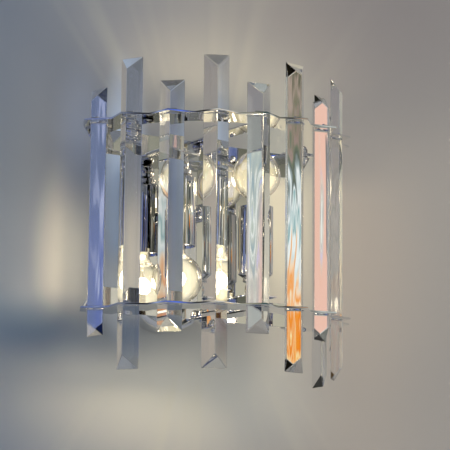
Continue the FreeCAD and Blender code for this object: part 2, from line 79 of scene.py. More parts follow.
# ---- Wall and floor ----------------------------------------------------------------------
# A painted plaster wall that the sconce hangs on, and a pale floor below it. Light and shade
# from the sconce are painted into the wall's colour, with faint painted rays above and below. From
# behind and under the canopy it lets the camera and the light through, so that the back of the sconce shows.
def add(tree, kind, inputs=(), **settings):
    """One node of a tree: its settings, then its inputs, each a value or another node's socket."""
    made = tree.nodes.new(kind)
    for key, value in settings.items():
        setattr(made, key, value)
    for socket, value in inputs:
        if isinstance(value, bpy.types.NodeSocket):
            tree.links.new(value, made.inputs[socket])
        else:
            made.inputs[socket].default_value = value
    return made


def new_material(name):
    """An empty node material and its output node."""
    material = bpy.data.materials.new(name)
    material.use_nodes = True
    material.node_tree.nodes.clear()
    return material, material.node_tree, material.node_tree.nodes.new("ShaderNodeOutputMaterial")


def show(name, mesh):
    """A mesh as an object at the origin."""
    thing = bpy.data.objects.new(name, mesh)
    bpy.context.scene.collection.objects.link(thing)
    return thing


def flat_quad(name, corners):
    mesh = bpy.data.meshes.new(name)
    mesh.from_pydata(corners, [], [(0, 1, 2, 3)])
    return show(name, mesh)


wall_face, floor_height, wall_top, half_width, floor_depth = 0.0004, -1.3, 2.2, 4, -6
wall = flat_quad("wall", [(-half_width, wall_face, floor_height), (half_width, wall_face, floor_height),
                          (half_width, wall_face, wall_top), (-half_width, wall_face, wall_top)])
floor = flat_quad("floor", [(-half_width, floor_depth, floor_height), (half_width, floor_depth, floor_height),
                            (half_width, wall_face, floor_height), (-half_width, wall_face, floor_height)])


def maths(made, operation, first, second=0.0, third=0.0):
    return add(made, "ShaderNodeMath", [(0, first), (1, second), (2, third)], operation=operation).outputs[0]


def ranged(made, value, low, high, at_low=0.0, at_high=1.0, kind="LINEAR"):
    """A value's way from low to high, turned into a number between two others."""
    return add(made, "ShaderNodeMapRange", [(0, value), (1, low), (2, high), (3, at_low), (4, at_high)],
               interpolation_type=kind).outputs[0]


def blend(made, share, first, second):
    """Two colours mixed by a share. Each is three numbers or a socket."""
    sides = [(socket, value if isinstance(value, bpy.types.NodeSocket) else (*value, 1))
             for socket, value in ((6, first), (7, second))]
    return add(made, "ShaderNodeMix", [(0, share)] + sides, data_type="RGBA").outputs[2]


def noise(made, place, scale, detail=2.0):
    return add(made, "ShaderNodeTexNoise",
               [("Vector", place), ("Scale", scale), ("Detail", detail)]).outputs["Fac"]


def stretched(made, place, scale):
    return add(made, "ShaderNodeMapping", [("Vector", place), ("Scale", scale)]).outputs[0]


def relief(made, height, strength, distance):
    """Normal of a surface that rises and falls with a height."""
    return add(made, "ShaderNodeBump",
               [("Height", height), ("Strength", strength), ("Distance", distance)]).outputs[0]


plaster, tree, out = new_material("wall_plaster")
where = add(tree, "ShaderNodeTexCoord").outputs["Object"]
spot = add(tree, "ShaderNodeSeparateXYZ", [(0, where)]).outputs
# Painted light and shade: the wall's colour runs from cool shade at the left to warm light at the right.
shaded_left_tone, lit_right_tone = (0.225, 0.255, 0.295), (0.46, 0.42, 0.36)
tone = blend(tree, ranged(tree, spot["X"], -0.17, 0.16), shaded_left_tone, lit_right_tone)


def oval(x, z, wide, high):
    """How far out a spot of the wall lies from an upright oval's centre; 1 is on the oval."""
    gap = add(tree, "ShaderNodeVectorMath", [(0, where), (1, (x, 0, z))], operation="SUBTRACT").outputs[0]
    squeeze = (1 / wide, 0, 1 / high)
    gap = add(tree, "ShaderNodeVectorMath", [(0, gap), (1, squeeze)], operation="MULTIPLY").outputs[0]
    return add(tree, "ShaderNodeVectorMath", [(0, gap)], operation="LENGTH").outputs["Value"]


def painted_light_and_shade(colour, by, x, z, wide, high, edge):
    """Paints light or shade into an upright oval of the wall, in metres, fading out over a share of its size.
    """
    area = ranged(tree, oval(x, z, wide, high), 1.0 - edge, 1.0 + edge, 1.0, 0.0, "SMOOTHSTEP")
    return blend(tree, area, colour, by)


# Painted light and shade on the wall, where the sconce and its bulbs would throw them.
for painted_patch in (((0.68, 0.66, 0.56), 0.02, -0.130, 0.13, 0.060, 0.9),      # light under the lower plate
             ((0.46, 0.44, 0.38), 0.08, 0.15, 0.10, 0.06, 0.6),         # light over the upper plate
             ((0.66, 0.63, 0.50), 0.145, 0.05, 0.045, 0.11, 0.6),       # glow behind the right bulb
             ((0.52, 0.46, 0.38), 0.24, -0.02, 0.060, 0.14, 0.9),       # painted warm light right of the ring
             ((0.33, 0.30, 0.275), 0.28, 0.30, 0.16, 0.12, 0.9),        # shade far up on the right
             ((0.95, 0.87, 0.70), -0.090, -0.025, 0.028, 0.062, 0.9),   # glow beside the left crystal
             ((0.18, 0.23, 0.29), -0.160, -0.092, 0.110, 0.022, 0.9),   # shadow of the lower plate
             ((0.34, 0.37, 0.43), -0.088, 0.085, 0.020, 0.050, 0.9),    # shade beside the upper plate
             ((0.72, 0.84, 0.98), -0.042, 0.035, 0.022, 0.095, 0.6),    # painted cool light between the first two crystals
             ((0.92, 0.92, 0.86), -0.040, -0.050, 0.024, 0.030, 0.6)):  # glow of the left bulb
    tone = painted_light_and_shade(tone, *painted_patch)

# Painted light: faint cream rays that fan out over the wall above and below the sconce, as if thrown by the
# crystals.
rays_from = 0.05
fan = maths(tree, "DIVIDE", maths(tree, "SUBTRACT", spot["X"], rays_from), spot["Z"])
painted_rays = add(tree, "ShaderNodeTexNoise", [("W", fan), ("Scale", 6.0), ("Detail", 1.0)], noise_dimensions="1D")
painted_rays = ranged(tree, painted_rays.outputs["Fac"], 0.50, 0.80, 0.0, 0.40)
reach = maths(tree, "ABSOLUTE", spot["Z"])
for fading in (ranged(tree, reach, 0.10, 0.14), ranged(tree, reach, 0.30, 0.15),
               ranged(tree, maths(tree, "ABSOLUTE", fan), 1.1, 0.4)):
    painted_rays = maths(tree, "MULTIPLY", painted_rays, fading)
in_sight = blend(tree, painted_rays, tone, (0.66, 0.63, 0.48))

tone = in_sight
# Painted blue light for the glass and chrome only: a blue wash far to the left, two smaller bluish patches
# and pale blue streaks. The camera sees the wall without them.
for painted_patch in (((0.15, 0.21, 0.50), -0.30, 0.0, 0.10, 0.5, 0.25),         # painted blue light far left, seen in crystal only
             ((0.19, 0.24, 0.36), -0.212, 0.10, 0.020, 0.08, 0.6),
             ((0.19, 0.24, 0.36), -0.212, -0.17, 0.020, 0.06, 0.6)):
    tone = painted_light_and_shade(tone, *painted_patch)
painted_blue_streaks = ranged(tree, noise(tree, stretched(tree, where, (1.0, 1.0, 0.07)), 260.0, 1.0), 0.50, 0.62)
outside = ranged(tree, spot["X"], -0.20, -0.215)
tone = blend(tree, maths(tree, "MULTIPLY", painted_blue_streaks, outside), tone, (0.50, 0.56, 0.78))
straight = add(tree, "ShaderNodeLightPath").outputs["Is Camera Ray"]
tone = blend(tree, straight, tone, in_sight)
brightness = ranged(tree, noise(tree, where, 2.2), 0.0, 1.0, 0.93, 1.07)
tone = add(tree, "ShaderNodeHueSaturation", [("Color", tone), ("Value", brightness)])
paint = add(tree, "ShaderNodeBsdfPrincipled", [
    ("Base Color", tone.outputs[0]), ("Roughness", 0.85),
    ("Normal", relief(tree, noise(tree, where, 900.0, 3.0), 0.06, 0.0003))])
clear = add(tree, "ShaderNodeBsdfTransparent")
behind = add(tree, "ShaderNodeNewGeometry").outputs["Backfacing"]
under_canopy = maths(tree, "LESS_THAN", oval(0, 0, 0.045, 0.087), 0.98)
see_through = maths(tree, "MAXIMUM", behind, under_canopy)
mixed = add(tree, "ShaderNodeMixShader", [(0, see_through), (1, paint.outputs[0]), (2, clear.outputs[0])])
tree.links.new(mixed.outputs[0], out.inputs[0])
wall.data.materials.append(plaster)

pale, tree, out = new_material("pale_floor")
where = add(tree, "ShaderNodeTexCoord").outputs["Object"]
tone = blend(tree, noise(tree, where, 3.0), (0.62, 0.61, 0.59), (0.68, 0.67, 0.65))
paint = add(tree, "ShaderNodeBsdfPrincipled", [("Base Color", tone), ("Roughness", 0.7)])
tree.links.new(paint.outputs[0], out.inputs[0])
floor.data.materials.append(pale)
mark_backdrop(wall, floor)


# ---- Studio light ------------------------------------------------------------------------
# Soft light from two large panels before the wall, warm from the right and cooler from the left.
# Only chrome and crystal see the room: bands of light and shade all round, some bright and
# coloured spots, and a pale far side behind the wall. All else is lit by a plain pale sky.
world = bpy.data.worlds.new("room")
bpy.context.scene.world = world
world.use_nodes = True
tree = world.node_tree
tree.nodes.clear()
out = tree.nodes.new("ShaderNodeOutputWorld")
towards = add(tree, "ShaderNodeTexCoord").outputs["Generated"]
way = add(tree, "ShaderNodeSeparateXYZ", [(0, towards)]).outputs


def patch(centre, size, edge):
    """Soft-edged round area of the room, 1 at its middle, by the direction one looks in."""
    middle = Vector(centre).normalized()
    gap = add(tree, "ShaderNodeVectorMath", [(0, towards), (1, middle)], operation="DISTANCE")
    return ranged(tree, gap.outputs["Value"], size, size + edge, 1.0, 0.0, "SMOOTHSTEP")


def banded(value, stops):
    """Colours along a value between 0 and 1."""
    ramp = add(tree, "ShaderNodeValToRGB", [(0, value)])
    bands = ramp.color_ramp.elements
    bands[0].position, bands[1].position = stops[0][0], stops[-1][0]
    for place, colour in stops[1:-1]:
        bands.new(place)
    for band, (place, colour) in zip(bands, stops):
        band.color = (*colour, 1)
    return ramp.outputs[0]


height = ranged(tree, way["Z"], -0.9, 0.9)
sky_tone = blend(tree, height, (0.48, 0.50, 0.57), (0.37, 0.42, 0.52))
room = blend(tree, height, (0.22, 0.21, 0.17), (0.10, 0.11, 0.10))

# Bands by the angle from straight before the wall, left to right, at and around eye level.
turn = maths(tree, "ARCTAN2", way["X"], maths(tree, "MULTIPLY", way["Y"], -1.0))
widest = 120
turn = ranged(tree, turn, math.radians(-widest), math.radians(widest))
bands = [(-120, (0.10, 0.14, 0.30)), (-95, (0.05, 0.06, 0.10)), (-85, (0.01, 0.01, 0.015)),
         (-76, (0.02, 0.02, 0.03)), (-68, (0.45, 0.55, 0.85)), (-60, (0.08, 0.14, 0.50)),
         (-50, (0.12, 0.25, 1.10)), (-42, (0.10, 0.12, 0.25)), (-37, (0.01, 0.01, 0.01)),
         (-27, (0.01, 0.01, 0.01)), (-24, (0.60, 0.50, 0.30)), (-19, (0.55, 0.52, 0.42)),
         (-17, (0.01, 0.01, 0.01)), (-15, (0.01, 0.01, 0.01)), (-13, (0.80, 0.56, 0.22)),
         (-7, (0.75, 0.55, 0.26)), (-5, (0.30, 0.30, 0.25)), (13, (0.28, 0.28, 0.19)),
         (15, (0.02, 0.08, 0.08)), (21, (0.02, 0.06, 0.06)), (23, (0.50, 0.50, 0.44)),
         (26, (0.50, 0.50, 0.44)), (28, (0.14, 0.14, 0.10)), (38, (0.16, 0.16, 0.12)),
         (41, (0.02, 0.02, 0.02)), (46, (0.02, 0.02, 0.02)), (54, (0.30, 0.30, 0.28)),
         (64, (0.62, 0.62, 0.54)), (76, (0.20, 0.20, 0.18)), (84, (0.60, 0.62, 0.56)),
         (120, (0.50, 0.46, 0.40))]
around = banded(turn, [((degrees + widest) / (2 * widest), colour) for degrees, colour in bands])
band_height, band_full, band_gone = 0.15, 0.22, 0.50
level = maths(tree, "ABSOLUTE", maths(tree, "SUBTRACT", way["Z"], band_height))
room = blend(tree, ranged(tree, level, band_full, band_gone, 1.0, 0.0), room, around)
for colour, centre, size, edge in (((0.55, 0.52, 0.40), (0.55, -0.83, 0.10), 0.05, 0.06),
                                   ((0.75, 0.71, 0.58), (0.03, -0.99, 0.08), 0.07, 0.09),
                                   ((0.80, 0.77, 0.66), (-0.39, -0.79, -0.48), 0.06, 0.08),
                                   ((0.03, 0.12, 0.75), (-0.45, -0.69, -0.57), 0.05, 0.04),
                                   ((0.52, 0.56, 0.54), (0.81, -0.45, -0.37), 0.12, 0.10)):
    room = blend(tree, patch(centre, size, edge), room, colour)

# The fifth crystal shows pale streaks and the seventh salmon, from one side along the wall.
flow = noise(tree, stretched(tree, towards, (1.0, 1.0, 0.25)), 150.0, 1.0)
fresh = banded(flow, [(0.34, (0.40, 0.50, 0.52)), (0.44, (0.62, 0.67, 0.58)), (0.52, (0.95, 0.98, 0.92)),
                      (0.60, (0.55, 0.62, 0.52)), (0.70, (0.60, 0.66, 0.95))])
blush = blend(tree, ranged(tree, way["Y"], -0.020, 0.005), fresh, (0.90, 0.56, 0.44))
room = blend(tree, patch((0.985, -0.03, 0.17), 0.16, 0.06), room, blush)
for colour, centre, size, edge in (((0.50, 0.50, 0.49), (-0.34, -0.92, -0.14), 0.10, 0.08),
                                   ((0.72, 0.72, 0.68), (0.41, -0.91, -0.08), 0.05, 0.06),
                                   ((1.10, 1.08, 1.00), (-0.25, -1.0, 0.55), 0.16, 0.10),
                                   ((0.90, 0.30, 0.06), (0.40, -0.75, -0.60), 0.16, 0.10)):
    room = blend(tree, patch(centre, size, edge), room, colour)

# The sixth crystal shows wavy bands: orange low down, white and teal in the middle, olive on top.
warp = noise(tree, stretched(tree, towards, (1.0, 1.0, 0.4)), 110.0, 1.0)
bend = ranged(tree, maths(tree, "MULTIPLY_ADD", warp, 0.07, way["Z"]), 0.10, 0.28)
flames = banded(bend, [
    (0.05, (0.90, 0.28, 0.01)), (0.12, (1.0, 0.55, 0.08)), (0.18, (0.95, 0.35, 0.01)),
    (0.22, (1.0, 0.80, 0.40)), (0.27, (0.90, 0.25, 0.01)), (0.33, (0.95, 0.33, 0.03)),
    (0.37, (1.0, 0.85, 0.60)), (0.40, (0.95, 0.35, 0.05)), (0.44, (1.0, 0.75, 0.50)),
    (0.48, (0.70, 0.80, 0.80)), (0.52, (0.95, 1.0, 0.95)), (0.56, (0.25, 0.45, 0.45)),
    (0.60, (0.95, 0.98, 0.95)), (0.64, (0.38, 0.46, 0.45)), (0.70, (0.12, 0.14, 0.11)),
    (0.76, (0.17, 0.20, 0.13)), (0.80, (0.36, 0.26, 0.22)), (0.86, (0.20, 0.20, 0.13)),
    (0.93, (0.42, 0.33, 0.27)), (1.0, (0.14, 0.14, 0.09))])
room = blend(tree, patch((0.775, -0.60, 0.17), 0.12, 0.05), room, flames)
room = blend(tree, ranged(tree, way["Y"], 0.10, 0.30), room, (0.46, 0.48, 0.52))

light_path = add(tree, "ShaderNodeLightPath").outputs
shiny = maths(tree, "MAXIMUM", light_path["Is Glossy Ray"], light_path["Is Transmission Ray"])
direct = maths(tree, "LESS_THAN", light_path["Diffuse Depth"], 0.5)
seen = blend(tree, maths(tree, "MULTIPLY", shiny, direct), sky_tone, room)
sky = add(tree, "ShaderNodeBackground", [(0, seen), (1, 1.0)])
tree.links.new(sky.outputs[0], out.inputs[0])


def panel(name, place, target, width, height, power, colour):
    """Soft rectangular lamp that faces a point. Chrome and crystal don't mirror it."""
    lamp = bpy.data.lights.new(name, "AREA")
    lamp.shape = "RECTANGLE"
    lamp.size, lamp.size_y = width, height
    lamp.energy, lamp.color = power, colour
    thing = bpy.data.objects.new(name, lamp)
    thing.location = place
    thing.rotation_euler = (Vector(target) - Vector(place)).to_track_quat("-Z", "Y").to_euler()
    thing.visible_glossy = thing.visible_transmission = False
    bpy.context.scene.collection.objects.link(thing)


panel("key_panel", (1.0, -2.4, 0.5), (0.15, 0, -0.05), 1.8, 1.8, 20.0, (1.0, 0.94, 0.86))
panel("cool_panel", (-1.9, -2.2, 0.3), (0.0, 0, 0), 1.4, 1.6, 4.0, (0.80, 0.89, 1.0))


# ---- Cut crystals ------------------------------------------------------------------------
# Ten solid bars of clear crystal with a triangular section, ridge to the room. Both ends are cut
# by one slope from the flat back down to the ridge. All edges are lightly bevelled and polished.
def geometry_tree(name, sizes):
    """A geometry tree with named number inputs. Gives the tree, its sizes and their identifiers."""
    made = bpy.data.node_groups.new(name, "GeometryNodeTree")
    made.interface.new_socket("Geometry", in_out="OUTPUT", socket_type="NodeSocketGeometry")
    made.interface.new_socket("Geometry", in_out="INPUT", socket_type="NodeSocketGeometry")
    keys = {}
    for size in sizes:
        kind = {"Material": "NodeSocketMaterial", "Piece": "NodeSocketObject"}.get(size, "NodeSocketFloat")
        keys[size] = made.interface.new_socket(size, in_out="INPUT", socket_type=kind).identifier
    return made, made.nodes.new("NodeGroupInput").outputs, keys


def end_tree(made, given, shape):
    """Closes a tree with Realize Instances and Set Material."""
    real = add(made, "GeometryNodeRealizeInstances", [(0, shape)]).outputs[0]
    dressed = add(made, "GeometryNodeSetMaterial", [("Geometry", real), ("Material", given["Material"])])
    made.links.new(dressed.outputs[0], made.nodes.new("NodeGroupOutput").inputs[0])


def grow(name, made, keys, values, start=None):
    """Runs a geometry tree with its values and gives the result as a plain mesh."""
    thing = show(name, start or bpy.data.meshes.new(name + "_start"))
    modifier = thing.modifiers.new(name, "NODES")
    modifier.node_group = made
    for size, value in values.items():
        modifier[keys[size]] = value
    return baked(thing)


def baked(thing):
    """The object's shape with its modifiers as a plain mesh; the object itself goes."""
    bpy.context.view_layer.update()
    solid = bpy.data.meshes.new_from_object(thing.evaluated_get(bpy.context.evaluated_depsgraph_get()))
    name = thing.name
    bpy.data.objects.remove(thing)
    solid.name = name
    return solid


crystal_sizes = ["Width", "Depth", "Top", "Bottom", "Mitre", "Ring Radius", "Ring Axis", "Turn", "Material"]
crystal_tree, given, crystal_keys = geometry_tree("mitred_crystal", crystal_sizes)
blank = add(crystal_tree, "GeometryNodeMeshCylinder", [("Vertices", 3), ("Radius", 1.0), ("Depth", 2.0)])
corner = add(crystal_tree, "GeometryNodeInputPosition").outputs[0]
here = add(crystal_tree, "ShaderNodeSeparateXYZ", [(0, corner)]).outputs
ridge = maths(crystal_tree, "GREATER_THAN", here["X"], 0.5)
upper = maths(crystal_tree, "GREATER_THAN", here["Z"], 0.0)
flank = maths(crystal_tree, "MULTIPLY", maths(crystal_tree, "SUBTRACT", 1.0, ridge),
              maths(crystal_tree, "SIGN", here["Y"]))
across = maths(crystal_tree, "MULTIPLY", flank, maths(crystal_tree, "MULTIPLY", given["Width"], 0.5))
forward = maths(crystal_tree, "MULTIPLY_ADD", ridge, given["Depth"], given["Ring Radius"])
forward = maths(crystal_tree, "MULTIPLY", forward, -1.0)
span = maths(crystal_tree, "SUBTRACT", given["Top"], given["Bottom"])
level = maths(crystal_tree, "MULTIPLY_ADD", upper, span, given["Bottom"])
inward = maths(crystal_tree, "MULTIPLY_ADD", upper, -2.0, 1.0)
slope = maths(crystal_tree, "MULTIPLY", ridge, given["Mitre"])
level = maths(crystal_tree, "MULTIPLY_ADD", slope, inward, level)
corner = add(crystal_tree, "ShaderNodeCombineXYZ", [(0, across), (1, forward), (2, level)]).outputs[0]
bar = add(crystal_tree, "GeometryNodeSetPosition", [("Geometry", blank.outputs["Mesh"]),
                                                    ("Position", corner)])
spin = add(crystal_tree, "ShaderNodeCombineXYZ", [(2, given["Turn"])]).outputs[0]
shift = add(crystal_tree, "ShaderNodeCombineXYZ", [(1, given["Ring Axis"])]).outputs[0]
bar = add(crystal_tree, "GeometryNodeTransform", [("Geometry", bar.outputs[0]), ("Translation", shift),
                                                  ("Rotation", spin)])
end_tree(crystal_tree, given, bar.outputs[0])

crystal, tree, out = new_material("cut_crystal")
where = add(tree, "ShaderNodeTexCoord").outputs["Object"]
swell = noise(tree, stretched(tree, where, (1.0, 1.0, 0.13)), 85.0, 0.0)
glass = add(tree, "ShaderNodeBsdfPrincipled", [("Base Color", (0.985, 0.99, 0.99, 1)), ("Roughness", 0.0),
                                               ("IOR", 1.56), ("Transmission Weight", 1.0),
                                               ("Normal", relief(tree, swell, 0.3, 0.0005))])
clear = add(tree, "ShaderNodeBsdfTransparent", [(0, (0.90, 0.91, 0.91, 1))])
shadow = add(tree, "ShaderNodeLightPath").outputs["Is Shadow Ray"]
mixed = add(tree, "ShaderNodeMixShader", [(0, shadow), (1, glass.outputs[0]), (2, clear.outputs[0])])
tree.links.new(mixed.outputs[0], out.inputs[0])


def bevelled(mesh, width, steps=2, angle=30):
    """The mesh with its sharp edges rounded off and smooth shading across the rounding."""
    thing = show(mesh.name, mesh)
    for face in mesh.polygons:
        face.use_smooth = True
    edge = thing.modifiers.new("edges", "BEVEL")
    edge.width, edge.segments = width, steps
    edge.limit_method, edge.angle_limit = "ANGLE", math.radians(angle)
    edge.harden_normals = True
    return baked(thing)


def belongs(thing, body, slot, *nodes):
    """Puts a finished piece in the place of CAD nodes."""
    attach(thing, body)
    if nodes:
        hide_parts(*nodes)


crystal_width, crystal_depth, mitre, edge_width = 22.6 * MM, 9.5 * MM, 12.2 * MM, 0.7 * MM
ring_radius, ring_axis, tooth_step, middle = 120.0 * MM, -70.0 * MM, 18.2, 5.5
crystal_ends = {"long": (134.5 * MM, -137.5 * MM), "short": (112.0 * MM, -106.6 * MM)}
for number in range(1, 11):
    name = "crystal_%02d" % number
    top, bottom = crystal_ends["long" if number % 2 == 0 else "short"]
    bar = grow(name, crystal_tree, crystal_keys, {
        "Width": crystal_width, "Depth": crystal_depth, "Mitre": mitre, "Ring Radius": ring_radius,
        "Ring Axis": ring_axis, "Turn": math.radians((number - middle) * tooth_step),
        "Top": top, "Bottom": bottom, "Material": crystal})
    bar = show("cut_" + name, bevelled(bar, edge_width))
    belongs(bar, "hung_" + name, "crystal_glass", name)


# ---- Finishes shared by the metal pieces -------------------------------------------------
# Chrome plate over polished steel: bright, with faint wipe marks and sheet that isn't quite
# flat. Zinc-plated steel on the hidden fixings is duller, with a fine grain.
def effect_group(name, inputs, outputs):
    group = bpy.data.node_groups.new(name, "ShaderNodeTree")
    for label, kind in inputs:
        group.interface.new_socket(label, in_out="INPUT", socket_type=kind)
    for label, kind in outputs:
        group.interface.new_socket(label, in_out="OUTPUT", socket_type=kind)
    return group, group.nodes.new("NodeGroupInput").outputs, group.nodes.new("NodeGroupOutput").inputs


marks, given, gives = effect_group("wipe_marks", [("Scale", "NodeSocketFloat"), ("Low", "NodeSocketFloat"),
                                                  ("High", "NodeSocketFloat"), ("Wave", "NodeSocketFloat")],
                                   [("Roughness", "NodeSocketFloat"), ("Normal", "NodeSocketVector")])
where = add(marks, "ShaderNodeTexCoord").outputs["Object"]
smear = noise(marks, where, given["Scale"], 5.0)
marks.links.new(ranged(marks, smear, 0.35, 0.75, given["Low"], given["High"]), gives["Roughness"])
marks.links.new(relief(marks, noise(marks, where, 14.0, 1.0), given["Wave"], 0.002), gives["Normal"])


def metal(name, colour, scale, low, high, wave):
    """Bare or plated metal whose roughness runs from low to high, its sheet waved a little."""
    made, tree, out = new_material(name)
    worn = add(tree, "ShaderNodeGroup", node_tree=marks)
    worn.inputs["Scale"].default_value = scale
    worn.inputs["Low"].default_value = low
    worn.inputs["High"].default_value = high
    worn.inputs["Wave"].default_value = wave
    where = add(tree, "ShaderNodeTexCoord").outputs["Object"]
    dull, bright = [c * 0.95 for c in colour], [min(1.0, c * 1.04) for c in colour]
    tone = blend(tree, noise(tree, where, scale * 0.4, 4.0), dull, bright)
    skin = add(tree, "ShaderNodeBsdfPrincipled", [("Base Color", tone), ("Metallic", 1.0),
                                                  ("Roughness", worn.outputs["Roughness"]),
                                                  ("Normal", worn.outputs["Normal"])])
    tree.links.new(skin.outputs[0], out.inputs[0])
    return made


chrome = metal("polished_chrome", (0.80, 0.805, 0.815), 45.0, 0.015, 0.06, 0.02)
steel = metal("zinc_steel", (0.62, 0.62, 0.60), 160.0, 0.28, 0.42, 0.05)
brass = metal("plain_brass", (0.72, 0.53, 0.24), 120.0, 0.16, 0.30, 0.03)


def dress(node, material):
    """Gives a CAD node a finish in place of its plain one."""
    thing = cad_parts[node]
    thing.data.materials.clear()
    thing.data.materials.append(material)


for number in range(1, 11):
    dress("crystal_pin_%02d" % number, steel)


# ---- Zigzag plates -----------------------------------------------------------------------
# Two plates cut from polished sheet. Each has a toothed half ring with a three-cornered hole for
# every crystal, and a strip across its middle to the back bar. The upper one carries the crystals.
def cut_sheet(name, loops, thickness, edge):
    """Sheet lying on the XY plane, from flat outlines and holes, its edges slightly rounded."""
    curve = bpy.data.curves.new(name, "CURVE")
    curve.dimensions = "2D"
    curve.fill_mode = "BOTH"
    curve.extrude = thickness / 2 - edge
    curve.bevel_depth = edge
    curve.bevel_resolution = 1
    curve.offset = -edge
    for loop in loops:
        spline = curve.splines.new("POLY")
        spline.points.add(len(loop) - 1)
        for point, place in zip(spline.points, loop):
            point.co = (place[0], place[1], 0, 1)
        spline.use_cyclic_u = True
    mesh = baked(show(name, curve))
    mesh.transform(Matrix.Translation((0, 0, thickness / 2)))
    return mesh


def round_hole(x, y, radius, steps=32):
    return [(x + radius * math.cos(2 * math.pi * i / steps), y + radius * math.sin(2 * math.pi * i / steps))
            for i in range(steps)]


tip, notch, inner, strip, rear = 136.5 * MM, 123.5 * MM, 91 * MM, 9 * MM, -67 * MM
plate_under, plate_thickness, plate_edge, screw_hole = 81.7 * MM, 1.6 * MM, 0.2 * MM, 2.25 * MM


def on_arc(radius, degrees):
    turn = math.radians(degrees)
    return (radius * math.sin(turn), ring_axis - radius * math.cos(turn))


outline = [on_arc(notch if i % 2 == 0 else tip, (i / 2 - 5) * tooth_step) for i in range(21)]
outline[0] = (outline[0][0], rear)
outline[-1] = (outline[-1][0], rear)
end_angle = 90 + math.degrees(math.asin((rear - ring_axis) / inner))
strip_angle = math.degrees(math.asin(strip / inner))
turns = [end_angle + (strip_angle - end_angle) * i / 40 for i in range(41)]
outline += [on_arc(inner, turn) for turn in turns] + [(strip, rear), (-strip, rear)]
outline += [on_arc(inner, -turn) for turn in reversed(turns)]


def crystal_hole(number):
    """Three-cornered hole 0.4 mm larger all round than the crystal, its corners cut off."""
    half, base, point = 12.9 * MM, 119.6 * MM, 130.35 * MM
    cut = 0.9 * MM
    turn = math.radians((number - middle) * tooth_step)
    out, side = Vector((math.sin(turn), -math.cos(turn))), Vector((math.cos(turn), math.sin(turn)))
    slope = (point - base) / half
    rise = base + cut * 0.7 * slope
    flat = [(-half + cut, base), (half - cut, base), (half - cut * 0.7, rise), (cut, point - cut * slope),
            (-cut, point - cut * slope), (-half + cut * 0.7, rise)]
    return [tuple(Vector((0, ring_axis)) + side * x + out * y) for x, y in flat]


ear_screws = [(x, -74.5 * MM) for x in (-110 * MM, 0, 110 * MM)]
loops = [outline] + [crystal_hole(k) for k in range(1, 11)]
loops += [round_hole(x, y, screw_hole) for x, y in ear_screws]
for name, low in (("upper_plate", plate_under), ("lower_plate", -plate_under - plate_thickness)):
    plate = cut_sheet("zigzag_" + name, loops, plate_thickness, plate_edge)
    plate.transform(Matrix.Translation((0, 0, low)))
    plate.materials.append(chrome)
    belongs(show("zigzag_" + name, plate), "fixed_frame", "polished_chrome", name)


# ---- Back bars ---------------------------------------------------------------------------
# Bent from the same polished sheet: an upright web with its ends cut on the slant, three ears for
# the plate's screws, and one tab that carries a lamp. The lower one is the upper one turned over.
def joined(name, *meshes):
    """Several meshes as one, with the first one's material."""
    made = bpy.data.meshes.new(name)
    corners, faces, smooth = [], [], []
    for mesh in meshes:
        start = len(corners)
        corners += [v.co.copy() for v in mesh.vertices]
        faces += [[start + i for i in face.vertices] for face in mesh.polygons]
        smooth += [face.use_smooth for face in mesh.polygons]
    made.from_pydata(corners, [], faces)
    made.polygons.foreach_set("use_smooth", smooth)
    made.materials.append(meshes[0].materials[0])
    return made


def standing(mesh, depth):
    """Turns a sheet that lies on XY to stand on XZ, its face at a depth and its back behind it."""
    upright = Matrix(((1, 0, 0, 0), (0, 0, 1, 0), (0, 1, 0, 0), (0, 0, 0, 1)))
    mesh.transform(Matrix.Translation((0, depth, 0)) @ upright)
    mesh.flip_normals()
    return mesh


def half_turn(mesh):
    """A copy for the other lamp or bar: the same piece turned half a turn about the Y axis."""
    other = mesh.copy()
    other.transform(Matrix.Rotation(math.pi, 4, "Y"))
    return other


sheet, sheet_edge = 1.5 * MM, 0.2 * MM
web_top, web_low, web_height = plate_under, 59.7 * MM, 70.7 * MM
web_half_top, web_half_low, web_front, bend_line = 123 * MM, 109 * MM, -68.5 * MM, -68.4 * MM
lamp_x, lamp_y, flex_hole, small_hole, tube_hole = 42 * MM, -96.5 * MM, 2.0 * MM, 1.75 * MM, 5.25 * MM
mirror_screw_x = 35 * MM
web = cut_sheet("web", [[(-web_half_top, web_top), (web_half_top, web_top), (web_half_low, web_low),
                         (-web_half_low, web_low)], round_hole(-lamp_x, web_height, flex_hole),
                        round_hole(-mirror_screw_x, web_height, small_hole),
                        round_hole(mirror_screw_x, web_height, small_hole)], sheet, sheet_edge)
bent = [standing(web, web_front)]


def tongue(name, x, half, front, hole, low):
    """Tongue bent forward from the web, with one hole."""
    left, right = x - half, x + half
    sides = [(left, front), (right, front), (right, bend_line), (left, bend_line)]
    piece = cut_sheet(name, [sides, hole], sheet, sheet_edge)
    piece.transform(Matrix.Translation((0, 0, low)))
    return piece


ear_half, ear_front, tab_half, tab_front = 7 * MM, -81.5 * MM, 15 * MM, -108.5 * MM
for x, y in ear_screws:
    bent.append(tongue("ear", x, ear_half, ear_front, round_hole(x, y, screw_hole), web_top - sheet))
bent.append(tongue("tab", -lamp_x, tab_half, tab_front, round_hole(-lamp_x, lamp_y, tube_hole), web_low))
for piece in bent:
    piece.materials.append(chrome)
upper_bar = joined("bent_upper_bar", *bent)
belongs(show("bent_upper_bar", upper_bar), "fixed_frame", "polished_chrome", "upper_back_bar")
belongs(show("bent_lower_bar", half_turn(upper_bar)), "fixed_frame", "polished_chrome", "lower_back_bar")


# ---- Mirror plate ------------------------------------------------------------------------
# A small upright plate of mirror-polished steel behind the lamps, with rounded corners. It hangs
# on the threaded tube from the wall and the two bars are screwed to it.
def rounded_box(left, right, low, top, radius, steps=8):
    loop = []
    for x, z, start in ((right - radius, top - radius, 0), (left + radius, top - radius, 90),
                        (left + radius, low + radius, 180), (right - radius, low + radius, 270)):
        for i in range(steps + 1):
            turn = math.radians(start + 90 * i / steps)
            loop.append((x + radius * math.cos(turn), z + radius * math.sin(turn)))
    return loop


